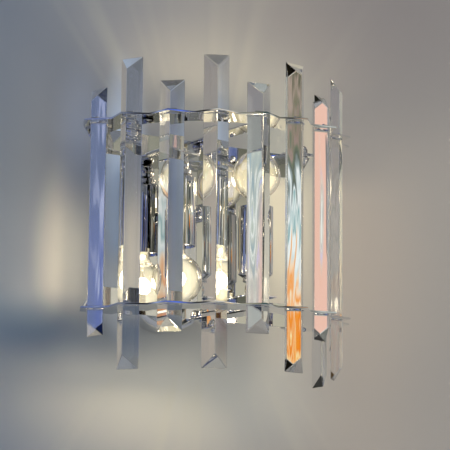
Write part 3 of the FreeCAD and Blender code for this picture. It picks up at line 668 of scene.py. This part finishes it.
mirror_half, mirror_top, mirror_corner, mirror_edge = 65 * MM, 78 * MM, 5 * MM, 0.25 * MM
mirror_front, hub_height = -67 * MM, 16 * MM
mirror_places = [(x, z) for x in (-mirror_screw_x, mirror_screw_x) for z in (-web_height, web_height)]
holes = [round_hole(x, z, small_hole) for x, z in mirror_places]
holes += [round_hole(0, hub_height, tube_hole), round_hole(-lamp_x, web_height, flex_hole),
          round_hole(lamp_x, -web_height, flex_hole)]
mirror_outline = rounded_box(-mirror_half, mirror_half, -mirror_top, mirror_top, mirror_corner)
mirror_sheet = cut_sheet("mirror", [mirror_outline] + holes, sheet, mirror_edge)
mirror_sheet = standing(mirror_sheet, mirror_front)
mirror_finish = metal("mirror_steel", (0.83, 0.83, 0.835), 30.0, 0.005, 0.025, 0.006)
mirror_sheet.materials.append(mirror_finish)
belongs(show("mirror_sheet", mirror_sheet), "fixed_frame", "polished_chrome", "mirror_plate")


# ---- Screws and nuts ---------------------------------------------------------------------
# Round-head screws go down through plate and ear into acorn nuts. Four smaller ones hold the
# bars to the mirror plate, with hexagon nuts behind it. One tree sets each kind at its places.
scatter_tree, given, scatter_keys = geometry_tree("fasteners", ["Tilt", "Material", "Piece"])
fastener = add(scatter_tree, "GeometryNodeObjectInfo", [(0, given["Piece"])])
place = add(scatter_tree, "GeometryNodeInputPosition").outputs[0]
below = add(scatter_tree, "ShaderNodeSeparateXYZ", [(0, place)]).outputs["Z"]
below = maths(scatter_tree, "LESS_THAN", below, 0.0)
turned_over = maths(scatter_tree, "MULTIPLY", maths(scatter_tree, "MULTIPLY", below, math.pi), given["Tilt"])
lean = add(scatter_tree, "ShaderNodeCombineXYZ", [(1, turned_over)])
placed = add(scatter_tree, "GeometryNodeInstanceOnPoints", [("Points", given["Geometry"]),
                                                            ("Instance", fastener.outputs["Geometry"]),
                                                            ("Rotation", lean.outputs[0])])
end_tree(scatter_tree, given, placed.outputs[0])


def turned(name, outline, steps=64):
    """Mesh turned about the Z axis from (radius, height) points in millimetres."""
    corners, faces = [], []
    rings = []
    for radius, high in outline:
        if radius < 1e-6:
            rings.append([len(corners)])
            corners.append((0, 0, high * MM))
        else:
            rings.append(list(range(len(corners), len(corners) + steps)))
            corners += [(radius * MM * math.cos(2 * math.pi * i / steps),
                         radius * MM * math.sin(2 * math.pi * i / steps), high * MM) for i in range(steps)]
    for low, top in zip(rings, rings[1:]):
        for i in range(steps):
            loop = [low[i % len(low)], low[(i + 1) % len(low)], top[(i + 1) % len(top)], top[i % len(top)]]
            loop = list(dict.fromkeys(loop))
            if len(loop) > 2:
                faces.append(loop)
    mesh = bpy.data.meshes.new(name)
    mesh.from_pydata(corners, [], faces)
    return smooth_shaded(mesh)


def smooth_shaded(mesh, angle=35):
    """Faces outwards, smooth shading but for edges sharper than an angle."""
    thing = show(mesh.name, mesh)
    bpy.context.view_layer.objects.active = thing
    bpy.ops.object.select_all(action="DESELECT")
    thing.select_set(True)
    bpy.ops.object.mode_set(mode="EDIT")
    bpy.ops.mesh.select_all(action="SELECT")
    bpy.ops.mesh.remove_doubles(threshold=1e-7)
    bpy.ops.mesh.normals_make_consistent(inside=False)
    bpy.ops.object.mode_set(mode="OBJECT")
    for face in mesh.polygons:
        face.use_smooth = True
    mesh.set_sharp_from_angle(angle=math.radians(angle))
    bpy.data.objects.remove(thing)
    return mesh


def six_sided(name, flats, low, top, hole, cut=0.35):
    """Hexagon nut blank with its corners turned off at both ends, in millimetres."""
    radius = flats / math.sqrt(3)
    corners, faces = [], []
    for high, share in ((low, 0.92), (low + cut, 1.0), (top - cut, 1.0), (top, 0.92)):
        corners += [(radius * share * MM * math.cos(math.radians(60 * i)),
                     radius * share * MM * math.sin(math.radians(60 * i)), high * MM) for i in range(6)]
    for ring in range(3):
        for i in range(6):
            a, b = ring * 6 + i, ring * 6 + (i + 1) % 6
            faces.append((a, b, b + 6, a + 6))
    inner_low, inner_top = len(corners), len(corners) + 24
    for high in (low, top):
        corners += [(x, y, high * MM) for x, y in round_hole(0, 0, hole * MM, 24)]
    for i in range(24):
        j = (i + 1) % 24
        faces.append((inner_low + i, inner_low + j, inner_top + j, inner_top + i))
        for ring, start in ((0, inner_low), (18, inner_top)):
            side, following = i // 4, ((i + 1) // 4) % 6
            loop = [start + i, start + j, ring + following, ring + side]
            faces.append(tuple(dict.fromkeys(loop)))
    mesh = bpy.data.meshes.new(name)
    mesh.from_pydata(corners, [], faces)
    return smooth_shaded(mesh, 20)


def arc_points(centre_r, centre_z, radius, start, stop, steps=8):
    """(radius, height) points on an arc of an outline, angles in degrees."""
    return [(centre_r + radius * math.cos(math.radians(start + (stop - start) * i / steps)),
             centre_z + radius * math.sin(math.radians(start + (stop - start) * i / steps)))
            for i in range(steps + 1)]


def set_out(name, piece_mesh, places, tilt, material):
    """One kind of fastener at all its places, as one mesh."""
    piece = show(name + "_one", piece_mesh)
    points = bpy.data.meshes.new(name)
    points.from_pydata(places, [], [])
    values = {"Tilt": tilt, "Material": material, "Piece": piece}
    mesh = grow(name, scatter_tree, scatter_keys, values, points)
    bpy.data.objects.remove(piece)
    return show(name, mesh)


plate_top, ear_under = plate_under + plate_thickness, web_top - sheet
both_plates = [(x, y, z) for x, y in ear_screws for z in (plate_top, -plate_top)]
head = arc_points(1.2, 0.0, 2.8, 0, 60, 5)
screw = turned("screw", [(0, -6.9), (1.6, -6.9), (2.0, -6.5), (2.0, 0.0), (4.0, 0.0)]
               + [(r, z * 0.9) for r, z in head[1:]] + [(1.3, 2.2), (1.2, 1.2), (0, 1.2)], 32)
plate_screws = set_out("round_head_screws", screw, both_plates, 1.0, chrome)
belongs(plate_screws, "fixed_frame", "polished_chrome", "plate_screws")

acorn_places = [(x, y, z) for x, y in ear_screws for z in (ear_under, -ear_under)]
dome = turned("dome", [(4.3, -3.9)] + arc_points(0, -4.0, 4.2, 0, -90, 10), 48)
nut = six_sided("acorn", 9.0, -4.0, 0.0, 2.05)
dome.materials.append(chrome)
nut.materials.append(chrome)
acorn = joined("acorn_nut", nut, dome)
acorn_nuts = set_out("acorn_nuts", acorn, acorn_places, 1.0, chrome)
belongs(acorn_nuts, "fixed_frame", "polished_chrome", "plate_acorn_nuts")

small_head = turned("small_screw", [(0, -6.0), (1.5, -6.0), (1.5, 0), (3.0, 0)]
                    + arc_points(0, 0, 3.0, 0, 75, 7)[1:] + [(0.7, 2.1), (0, 2.1)], 32)
small_head.transform(Matrix.Rotation(math.radians(90), 4, "X"))
head_places = [(x, web_front, z) for x, z in mirror_places]
mirror_screws = set_out("mirror_plate_screws", small_head, head_places, 0.0, chrome)
belongs(mirror_screws, "fixed_frame", "polished_chrome", "mirror_screws")

small_nut = six_sided("small_nut", 6.0, 0.0, 2.4, 1.55)
small_nut.transform(Matrix.Rotation(math.radians(-90), 4, "X"))
nut_places = [(x, mirror_front + sheet, z) for x, z in mirror_places]
mirror_nuts = set_out("mirror_plate_nuts", small_nut, nut_places, 0.0, steel)
belongs(mirror_nuts, "fixed_frame", "plain_steel", "mirror_nuts")


# ---- Wall strap, grommet, earth screw and terminal block ---------------------------------
# Hidden under the canopy: a zinc-plated strap that is screwed to the wall, a rubber grommet where
# the house cable comes in, the earth screw, and a three-way block for the wires.
def moulded(name, colour, roughness, speckle):
    """Moulded plastic or rubber with a fine skin."""
    made, tree, out = new_material(name)
    where = add(tree, "ShaderNodeTexCoord").outputs["Object"]
    dull, bright = [c * 0.94 for c in colour], [min(1.0, c * 1.05) for c in colour]
    tone = blend(tree, noise(tree, where, 60.0), dull, bright)
    skin = relief(tree, noise(tree, where, 700.0, 2.0), speckle, 0.0002)
    body = add(tree, "ShaderNodeBsdfPrincipled", [("Base Color", tone), ("Roughness", roughness),
                                                  ("Normal", skin)])
    tree.links.new(body.outputs[0], out.inputs[0])
    return made


dress("wall_strap", steel)
dress("earth_screw", steel)
dress("nipple_nut", steel)
dress("cable_grommet", moulded("grommet_rubber", (0.03, 0.03, 0.03), 0.75, 0.3))
dress("terminal_block", moulded("block_plastic", (0.82, 0.81, 0.76), 0.45, 0.2))


# ---- Canopy, neck and cap nut ------------------------------------------------------------
# The canopy is a shallow racetrack dish pressed from sheet and plated. The neck is a plain tube
# between it and the mirror plate. The threaded tube runs through all and ends in a turned cap.
def racetrack(radius, straight, steps=24):
    """Closed upright racetrack as (x, z) points."""
    loop = [(radius * math.cos(math.pi * i / steps), straight + radius * math.sin(math.pi * i / steps))
            for i in range(steps + 1)]
    return loop + [(-x, -z) for x, z in loop]


def dish(name, outline, straight):
    """Racetrack dish lofted from (end radius, depth) points in millimetres, wall to room."""
    corners, faces = [], []
    for radius, depth in outline:
        corners += [(x * MM, -depth * MM, z * MM) for x, z in racetrack(radius, straight)]
    count = len(racetrack(1, 1))
    for ring in range(len(outline) - 1):
        for i in range(count):
            a, b = ring * count + i, ring * count + (i + 1) % count
            faces.append((a, b, b + count, a + count))
    mesh = bpy.data.meshes.new(name)
    mesh.from_pydata(corners, [], faces)
    return mesh


straight_half, canopy_depth, canopy_sheet, canopy_hole = 42, 20, 1.2, 11
shell = [(45.2, 0.1), (46.0, 0.0), (46.0, 0.4)] + arc_points(40, 14, 6, 0, 90, 9)
lining = list(reversed(arc_points(40, 14, 4.8, 0, 90, 9)))
rim = dish("canopy_rim", shell, straight_half)
lined = dish("canopy_lining", lining + [(44.8, 0.4), (44.8, 0.0), (45.2, 0.1)], straight_half)
front_loops = [[(x * MM, z * MM) for x, z in racetrack(40.05, straight_half)],
               round_hole(0, hub_height, canopy_hole * MM, 48)]
front = cut_sheet("canopy_front", front_loops, canopy_sheet * MM, 0.02 * MM)
front = standing(front, -canopy_depth * MM)
for piece in (rim, lined, front):
    piece.materials.append(chrome)
canopy = smooth_shaded(joined("pressed_canopy", rim, lined, front), 40)
belongs(show("pressed_canopy", canopy), "fixed_frame", "polished_chrome", "canopy")


def lying(mesh, place):
    """Turns a piece made along Z so that it points to the room from a place."""
    mesh.transform(Matrix.Translation(place) @ Matrix.Rotation(math.radians(90), 4, "X"))
    return mesh


neck = turned("neck", [(12.5, 0.0), (14.0, 0.0), (14.0, 0.3), (14.0, 45.2), (14.0, 45.5), (12.5, 45.5),
                       (12.5, 0.0)], 96)
slot = bpy.data.meshes.new("slot")
slot_corners = [(x * MM, y * MM, z * MM) for x in (-20, 20) for y in (-2.5, 2.5) for z in (40.5, 50)]
slot_faces = [(0, 1, 3, 2), (4, 6, 7, 5), (0, 4, 5, 1), (2, 3, 7, 6), (0, 2, 6, 4), (1, 5, 7, 3)]
slot.from_pydata(slot_corners, [], slot_faces)
cutter, tube = show("cutter", slot), show("neck", neck)
notched = tube.modifiers.new("notch", "BOOLEAN")
notched.operation, notched.object, notched.solver = "DIFFERENCE", cutter, "EXACT"
neck = baked(tube)
bpy.data.objects.remove(cutter)
neck.materials.append(chrome)
neck = lying(smooth_shaded(neck), (0, -canopy_depth * MM, hub_height))
belongs(show("plated_neck", neck), "fixed_frame", "polished_chrome", "neck_tube")

cap = turned("cap", [(5.05, 0.0), (7.6, 0.0), (8.0, 0.4), (8.0, 7.6), (7.5, 8.1), (7.5, 8.7), (8.0, 9.1)]
             + [(8.0 * math.cos(math.radians(a)), 9.1 + 3.8 * math.sin(math.radians(a)))
                for a in range(8, 91, 8)]
             + [(0, 12.9), (0, 9.0), (5.05, 9.0), (5.05, 0.0)], 64)
cap.materials.append(chrome)
cap = lying(cap, (0, mirror_front, hub_height))
belongs(show("turned_cap", cap), "fixed_frame", "polished_chrome", "cap_nut")


def threaded(name, radius, bore, low, top, pitch, depth, steps=48):
    """Tube with a rolled screw thread along it, in millimetres, closed at both ends."""
    rows = max(2, int((top - low) / pitch * 8))
    corners, faces = [], []
    for row in range(rows + 1):
        high = low + (top - low) * row / rows
        fade = min(1.0, (high - low) / pitch, (top - high) / pitch)
        for i in range(steps):
            turn = 2 * math.pi * i / steps
            r = radius - depth * fade * (0.5 + 0.5 * math.cos(2 * math.pi * high / pitch - turn))
            corners.append((r * MM * math.cos(turn), r * MM * math.sin(turn), high * MM))
    for row in range(rows):
        for i in range(steps):
            a, b = row * steps + i, row * steps + (i + 1) % steps
            faces.append((a, b, b + steps, a + steps))
    first, last = len(corners), len(corners) + steps
    for high in (low, top):
        corners += [(x, y, high * MM) for x, y in round_hole(0, 0, bore * MM, steps)]
    for i in range(steps):
        j = (i + 1) % steps
        faces.append((first + i, first + j, j, i))
        faces.append((rows * steps + i, rows * steps + j, last + j, last + i))
        faces.append((first + j, first + i, last + i, last + j))
    mesh = bpy.data.meshes.new(name)
    mesh.from_pydata(corners, [], faces)
    return smooth_shaded(mesh, 60)


main_tube = threaded("main_tube", 5.0, 3.5, 0, 76, 1.0, 0.35)
main_tube.materials.append(steel)
main_tube = lying(main_tube, (0, 0, hub_height))
belongs(show("threaded_tube", main_tube), "fixed_frame", "plain_steel", "centre_nipple")


# ---- Lamp sleeves and their mounting -----------------------------------------------------
# Two plated tubes hide the lampholders. On the closed end of each sit a domed cover with a round
# neck and a ball, all clamped to the bar's tab by a short threaded tube and a nut.
def hang(mesh):
    """Moves a piece made round the Z axis to the left lamp."""
    mesh.transform(Matrix.Translation((-lamp_x, lamp_y, 0)))
    return mesh


def pair(name, mesh, material):
    """The left lamp's piece and its turned-over twin as one mesh."""
    mesh.materials.append(material)
    hang(mesh)
    return joined(name, mesh, half_turn(mesh))


sleeve = turned("sleeve", [(15.0, 39.0), (15.0, -21.6), (15.1, -21.9), (15.5, -22.0), (15.9, -21.9),
                           (16.0, -21.6), (16.0, 38.6), (15.9, 38.9), (15.6, 39.0), (15.0, 39.0)], 128)
sleeve.materials.append(chrome)
hang(sleeve)
belongs(show("plated_left_sleeve", sleeve), "fixed_frame", "polished_chrome", "left_sleeve")
belongs(show("plated_right_sleeve", half_turn(sleeve)), "fixed_frame", "polished_chrome", "right_sleeve")

cover = turned("cover", [(10.0, 35.0), (14.9, 35.0), (14.9, 39.0), (16.0, 39.0), (16.0, 39.4), (15.6, 40.2),
                         (14.2, 41.3), (12.2, 42.6), (11.0, 43.6), (10.6, 44.2), (11.2, 44.5), (11.5, 44.8),
                         (11.5, 46.4), (11.2, 46.8), (10.6, 47.0), (5.05, 47.0), (5.05, 40.0), (10.0, 39.4),
                         (10.0, 35.0)], 96)
covers = pair("sleeve_covers", cover, chrome)
belongs(show("sleeve_covers", covers), "fixed_frame", "polished_chrome", "sleeve_caps")

ball_middle, ball_radius = 53.35, 9.6
flat_angle = math.degrees(math.asin(6.35 / ball_radius))
ball = turned("ball", [(5.05, 47.0)] + arc_points(0, ball_middle, ball_radius, -flat_angle, flat_angle, 24)
              + [(5.05, 59.7), (5.05, 47.0)], 96)
balls = pair("chrome_balls", ball, chrome)
belongs(show("chrome_balls", balls), "fixed_frame", "polished_chrome", "ball_collars")

tube = threaded("short_tube", 5.0, 3.5, 25.05, 67.7, 1.0, 0.35)
tubes = pair("short_tubes", tube, steel)
belongs(show("short_tubes", tubes), "fixed_frame", "plain_steel", "lamp_nipples")
nut = six_sided("tube_nut", 14.0, 61.2, 66.2, 5.05, 0.6)
nuts = pair("tube_nuts", nut, chrome)
belongs(show("tube_nuts", nuts), "fixed_frame", "polished_chrome", "lamp_nuts")


# ---- Lampholders -------------------------------------------------------------------------
# Glazed white porcelain bodies inside the sleeves, each with a threaded brass shell for the bulb
# and a sprung centre contact. Their white mouths show round the bulbs' caps.
glaze, tree, out = new_material("white_porcelain")
where = add(tree, "ShaderNodeTexCoord").outputs["Object"]
speck = noise(tree, where, 220.0, 4.0)
tone = blend(tree, speck, (0.84, 0.82, 0.77), (0.90, 0.89, 0.86))
body = add(tree, "ShaderNodeBsdfPrincipled", [("Base Color", tone), ("Roughness", 0.12), ("Coat Weight", 0.5),
                                              ("Normal", relief(tree, speck, 0.08, 0.0003))])
tree.links.new(body.outputs[0], out.inputs[0])

holder = turned("holder", [(8.1, -18.6), (8.4, -19.0), (12.6, -19.0), (13.2, -18.4), (13.2, 25.0),
                           (9.0, 25.0), (9.0, 32.0), (5.05, 32.0), (5.05, 25.0), (0.0, 25.0), (0.0, 7.0),
                           (8.1, 7.0), (8.1, -18.6)], 64)
holder.materials.append(glaze)
hang(holder)
belongs(show("porcelain_left", holder), "fixed_frame", "porcelain", "left_lampholder")
belongs(show("porcelain_right", half_turn(holder)), "fixed_frame", "porcelain", "right_lampholder")
dress("holder_shells", brass)
dress("holder_contacts", brass)


# ---- Bulbs -------------------------------------------------------------------------------
# Clear golf-ball bulbs, 45 mm across, with a small screw cap of bright metal. Inside, a glass stem
# carries two lead wires and a horseshoe of coiled filament, which is lit.
thin_glass, tree, out = new_material("bulb_glass")
where = add(tree, "ShaderNodeTexCoord").outputs["Object"]
# Painted glow: the bulb glass and its stem give off a faint warm light of their own, brightest where the
# glass faces one and dim at its rim.
facing = add(tree, "ShaderNodeFresnel", [("IOR", 1.5)]).outputs[0]
painted_glow_fade = ranged(tree, facing, 0.0402, 0.085, 0.0, 1.0, "SMOOTHSTEP")
painted_glow = blend(tree, painted_glow_fade, (1.0, 0.86, 0.52), (0.16, 0.13, 0.07))
glass = add(tree, "ShaderNodeBsdfPrincipled", [
    ("Base Color", (0.99, 0.985, 0.97, 1)), ("Roughness", 0.0), ("IOR", 1.50), ("Transmission Weight", 1.0),
    ("Emission Color", painted_glow), ("Emission Strength", 0.17),
    ("Normal", relief(tree, noise(tree, where, 40.0, 1.0), 0.08, 0.0006))])
clear = add(tree, "ShaderNodeBsdfTransparent", [(0, (0.97, 0.96, 0.94, 1))])
shadow = add(tree, "ShaderNodeLightPath").outputs["Is Shadow Ray"]
mixed = add(tree, "ShaderNodeMixShader", [(0, shadow), (1, glass.outputs[0]), (2, clear.outputs[0])])
tree.links.new(mixed.outputs[0], out.inputs[0])

globe_radius, throat, neck_radius, rim_height, globe_middle = 22.5, 8.0, 6.2, -20.5, -51.5
rise = math.sqrt((globe_radius + throat) ** 2 - (neck_radius + throat) ** 2)
throat_angle = math.degrees(math.atan2(rise, neck_radius + throat))


def bulb_outline(skin):
    """Golf-ball outline from the far pole to the cap, moved inwards by a skin."""
    ball = arc_points(0, globe_middle, globe_radius - skin, -90, throat_angle, 40)
    bend = arc_points(neck_radius + throat, globe_middle + rise, throat + skin, 180 + throat_angle, 180, 10)
    return ball + bend[1:] + [(neck_radius - skin, rim_height)]


outline = bulb_outline(0.0) + list(reversed(bulb_outline(0.8)))
outline = [(0.0 if r < 1e-4 else r, z) for r, z in outline]
envelope = turned("envelope", outline, 96)
envelope.materials.append(thin_glass)
hang(envelope)

cap_metal = metal("bulb_cap_metal", (0.78, 0.77, 0.74), 90.0, 0.10, 0.22, 0.02)
thread = threaded("cap_thread", 6.9, 6.2, -20.0, -2.2, 2.8, 0.7, 64)
collar = turned("cap_collar", [(6.2, -20.5), (6.9, -20.5), (6.9, -19.6), (6.2, -19.6), (6.2, -20.5)], 64)
crown = turned("cap_crown", [(0, -1.5), (6.9, -2.4), (6.3, -1.5), (2.6, 2.0), (2.4, 3.2), (1.6, 3.5),
                             (0, 3.5)], 48)
for piece in (thread, collar, crown):
    piece.materials.append(cap_metal)
cap_mesh = hang(joined("cap_mesh", thread, collar, crown))

stem = turned("stem", [(0, -20.4), (5.0, -20.4), (4.6, -22.0), (2.6, -27.0), (2.2, -33.0), (2.4, -36.6),
                       (1.6, -37.5), (0, -37.8)], 32)
leads_curve = bpy.data.curves.new("leads", "CURVE")
leads_curve.dimensions = "3D"
leads_curve.bevel_depth = 0.35 * MM
leads_curve.bevel_resolution = 3
leads_curve.use_fill_caps = True
for side in (-1, 1):
    spline = leads_curve.splines.new("BEZIER")
    turn = math.radians(-90 + side * 150)
    end = (8.0 * math.cos(turn) * MM, 8.0 * math.sin(turn) * MM, -51.0 * MM)
    path = [(side * 0.8 * MM, 0, -36.0 * MM), (side * 1.6 * MM, 1.0 * MM, -41.0 * MM), end]
    spline.bezier_points.add(2)
    for point, place in zip(spline.bezier_points, path):
        point.co = place
        point.handle_left_type = point.handle_right_type = "AUTO"
leads = baked(show("leads", leads_curve))
stem.materials.append(thin_glass)
leads.materials.append(steel)

hot_wire, tree, out = new_material("lit_filament")
where = add(tree, "ShaderNodeTexCoord").outputs["Object"]
heat = blend(tree, noise(tree, where, 300.0), (1.0, 0.62, 0.26), (1.0, 0.80, 0.50))
wire = add(tree, "ShaderNodeBsdfPrincipled", [("Base Color", (0.45, 0.43, 0.42, 1)), ("Metallic", 1.0),
                                              ("Roughness", 0.3), ("Emission Color", heat),
                                              ("Emission Strength", 16.0)])
tree.links.new(wire.outputs[0], out.inputs[0])

coil_points, coil_turns = 1400, 52
coil_tree, given, coil_keys = geometry_tree("filament_coil", ["Ring", "Coil", "Wire", "Height", "Material"])
helix = add(coil_tree, "GeometryNodeMeshLine", [("Count", coil_points), ("Offset", (0, 0, 0))])
index = add(coil_tree, "GeometryNodeInputIndex").outputs[0]
share = maths(coil_tree, "DIVIDE", index, coil_points - 1.0)
sweep = maths(coil_tree, "MULTIPLY_ADD", share, math.radians(300), math.radians(-240))
twist = maths(coil_tree, "MULTIPLY", share, 2 * math.pi * coil_turns)
reach = maths(coil_tree, "MULTIPLY_ADD", maths(coil_tree, "COSINE", twist), given["Coil"], given["Ring"])
path = add(coil_tree, "ShaderNodeCombineXYZ", [
    (0, maths(coil_tree, "MULTIPLY", reach, maths(coil_tree, "COSINE", sweep))),
    (1, maths(coil_tree, "MULTIPLY", reach, maths(coil_tree, "SINE", sweep))),
    (2, maths(coil_tree, "MULTIPLY_ADD", maths(coil_tree, "SINE", twist), given["Coil"], given["Height"]))])
helix = add(coil_tree, "GeometryNodeSetPosition", [("Geometry", helix.outputs[0]),
                                                   ("Position", path.outputs[0])])
line = add(coil_tree, "GeometryNodeMeshToCurve", [("Mesh", helix.outputs[0])])
section = add(coil_tree, "GeometryNodeCurvePrimitiveCircle", [("Resolution", 5), ("Radius", given["Wire"])])
wire = add(coil_tree, "GeometryNodeCurveToMesh", [("Curve", line.outputs[0]),
                                                  ("Profile Curve", section.outputs[0]), ("Fill Caps", True)])
end_tree(coil_tree, given, wire.outputs[0])
coil = grow("coil", coil_tree, coil_keys, {"Ring": 8.0 * MM, "Coil": 0.33 * MM, "Wire": 0.11 * MM,
                                           "Height": -51.05 * MM, "Material": hot_wire})
coil = hang(smooth_shaded(coil, 80))
hang(stem)
hang(leads)

for side in ("left", "right"):
    turn_to = half_turn if side == "right" else (lambda mesh: mesh)
    body = side + "_bulb"
    belongs(show("clear_globe_" + side, turn_to(envelope)), body, "bulb_glass", side + "_bulb_glass")
    belongs(show("screw_cap_" + side, turn_to(cap_mesh)), body, "bulb_cap_metal", side + "_bulb_cap")
    belongs(show("glass_stem_" + side, turn_to(stem)), body, "bulb_glass", side + "_bulb_stem")
    belongs(show("lead_wires_" + side, turn_to(leads)), body, "filament_wire")
    belongs(show("coiled_filament_" + side, turn_to(coil)), body, "filament_wire", side + "_bulb_filament")

coil_height = 51 * MM
for side, sign in (("left", -1), ("right", 1)):
    lamp = bpy.data.lights.new(side + "_glow", "POINT")
    lamp.energy = 0.6
    lamp.color = (1.0, 0.86, 0.64)
    lamp.shadow_soft_size = 0.008
    bulb_light = bpy.data.objects.new(side + "_glow", lamp)
    bulb_light.location = (sign * lamp_x, lamp_y, sign * coil_height)
    bpy.context.scene.collection.objects.link(bulb_light)


# ---- Flexes ------------------------------------------------------------------------------
# Two thin insulated leads run from the block through the neck, behind the mirror plate and over
# each tab into a lamp's threaded tube.
insulation = moulded("flex_cover", (0.80, 0.80, 0.78), 0.35, 0.1)
dress("left_lamp_flex", insulation)
dress("right_lamp_flex", insulation)


low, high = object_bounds()
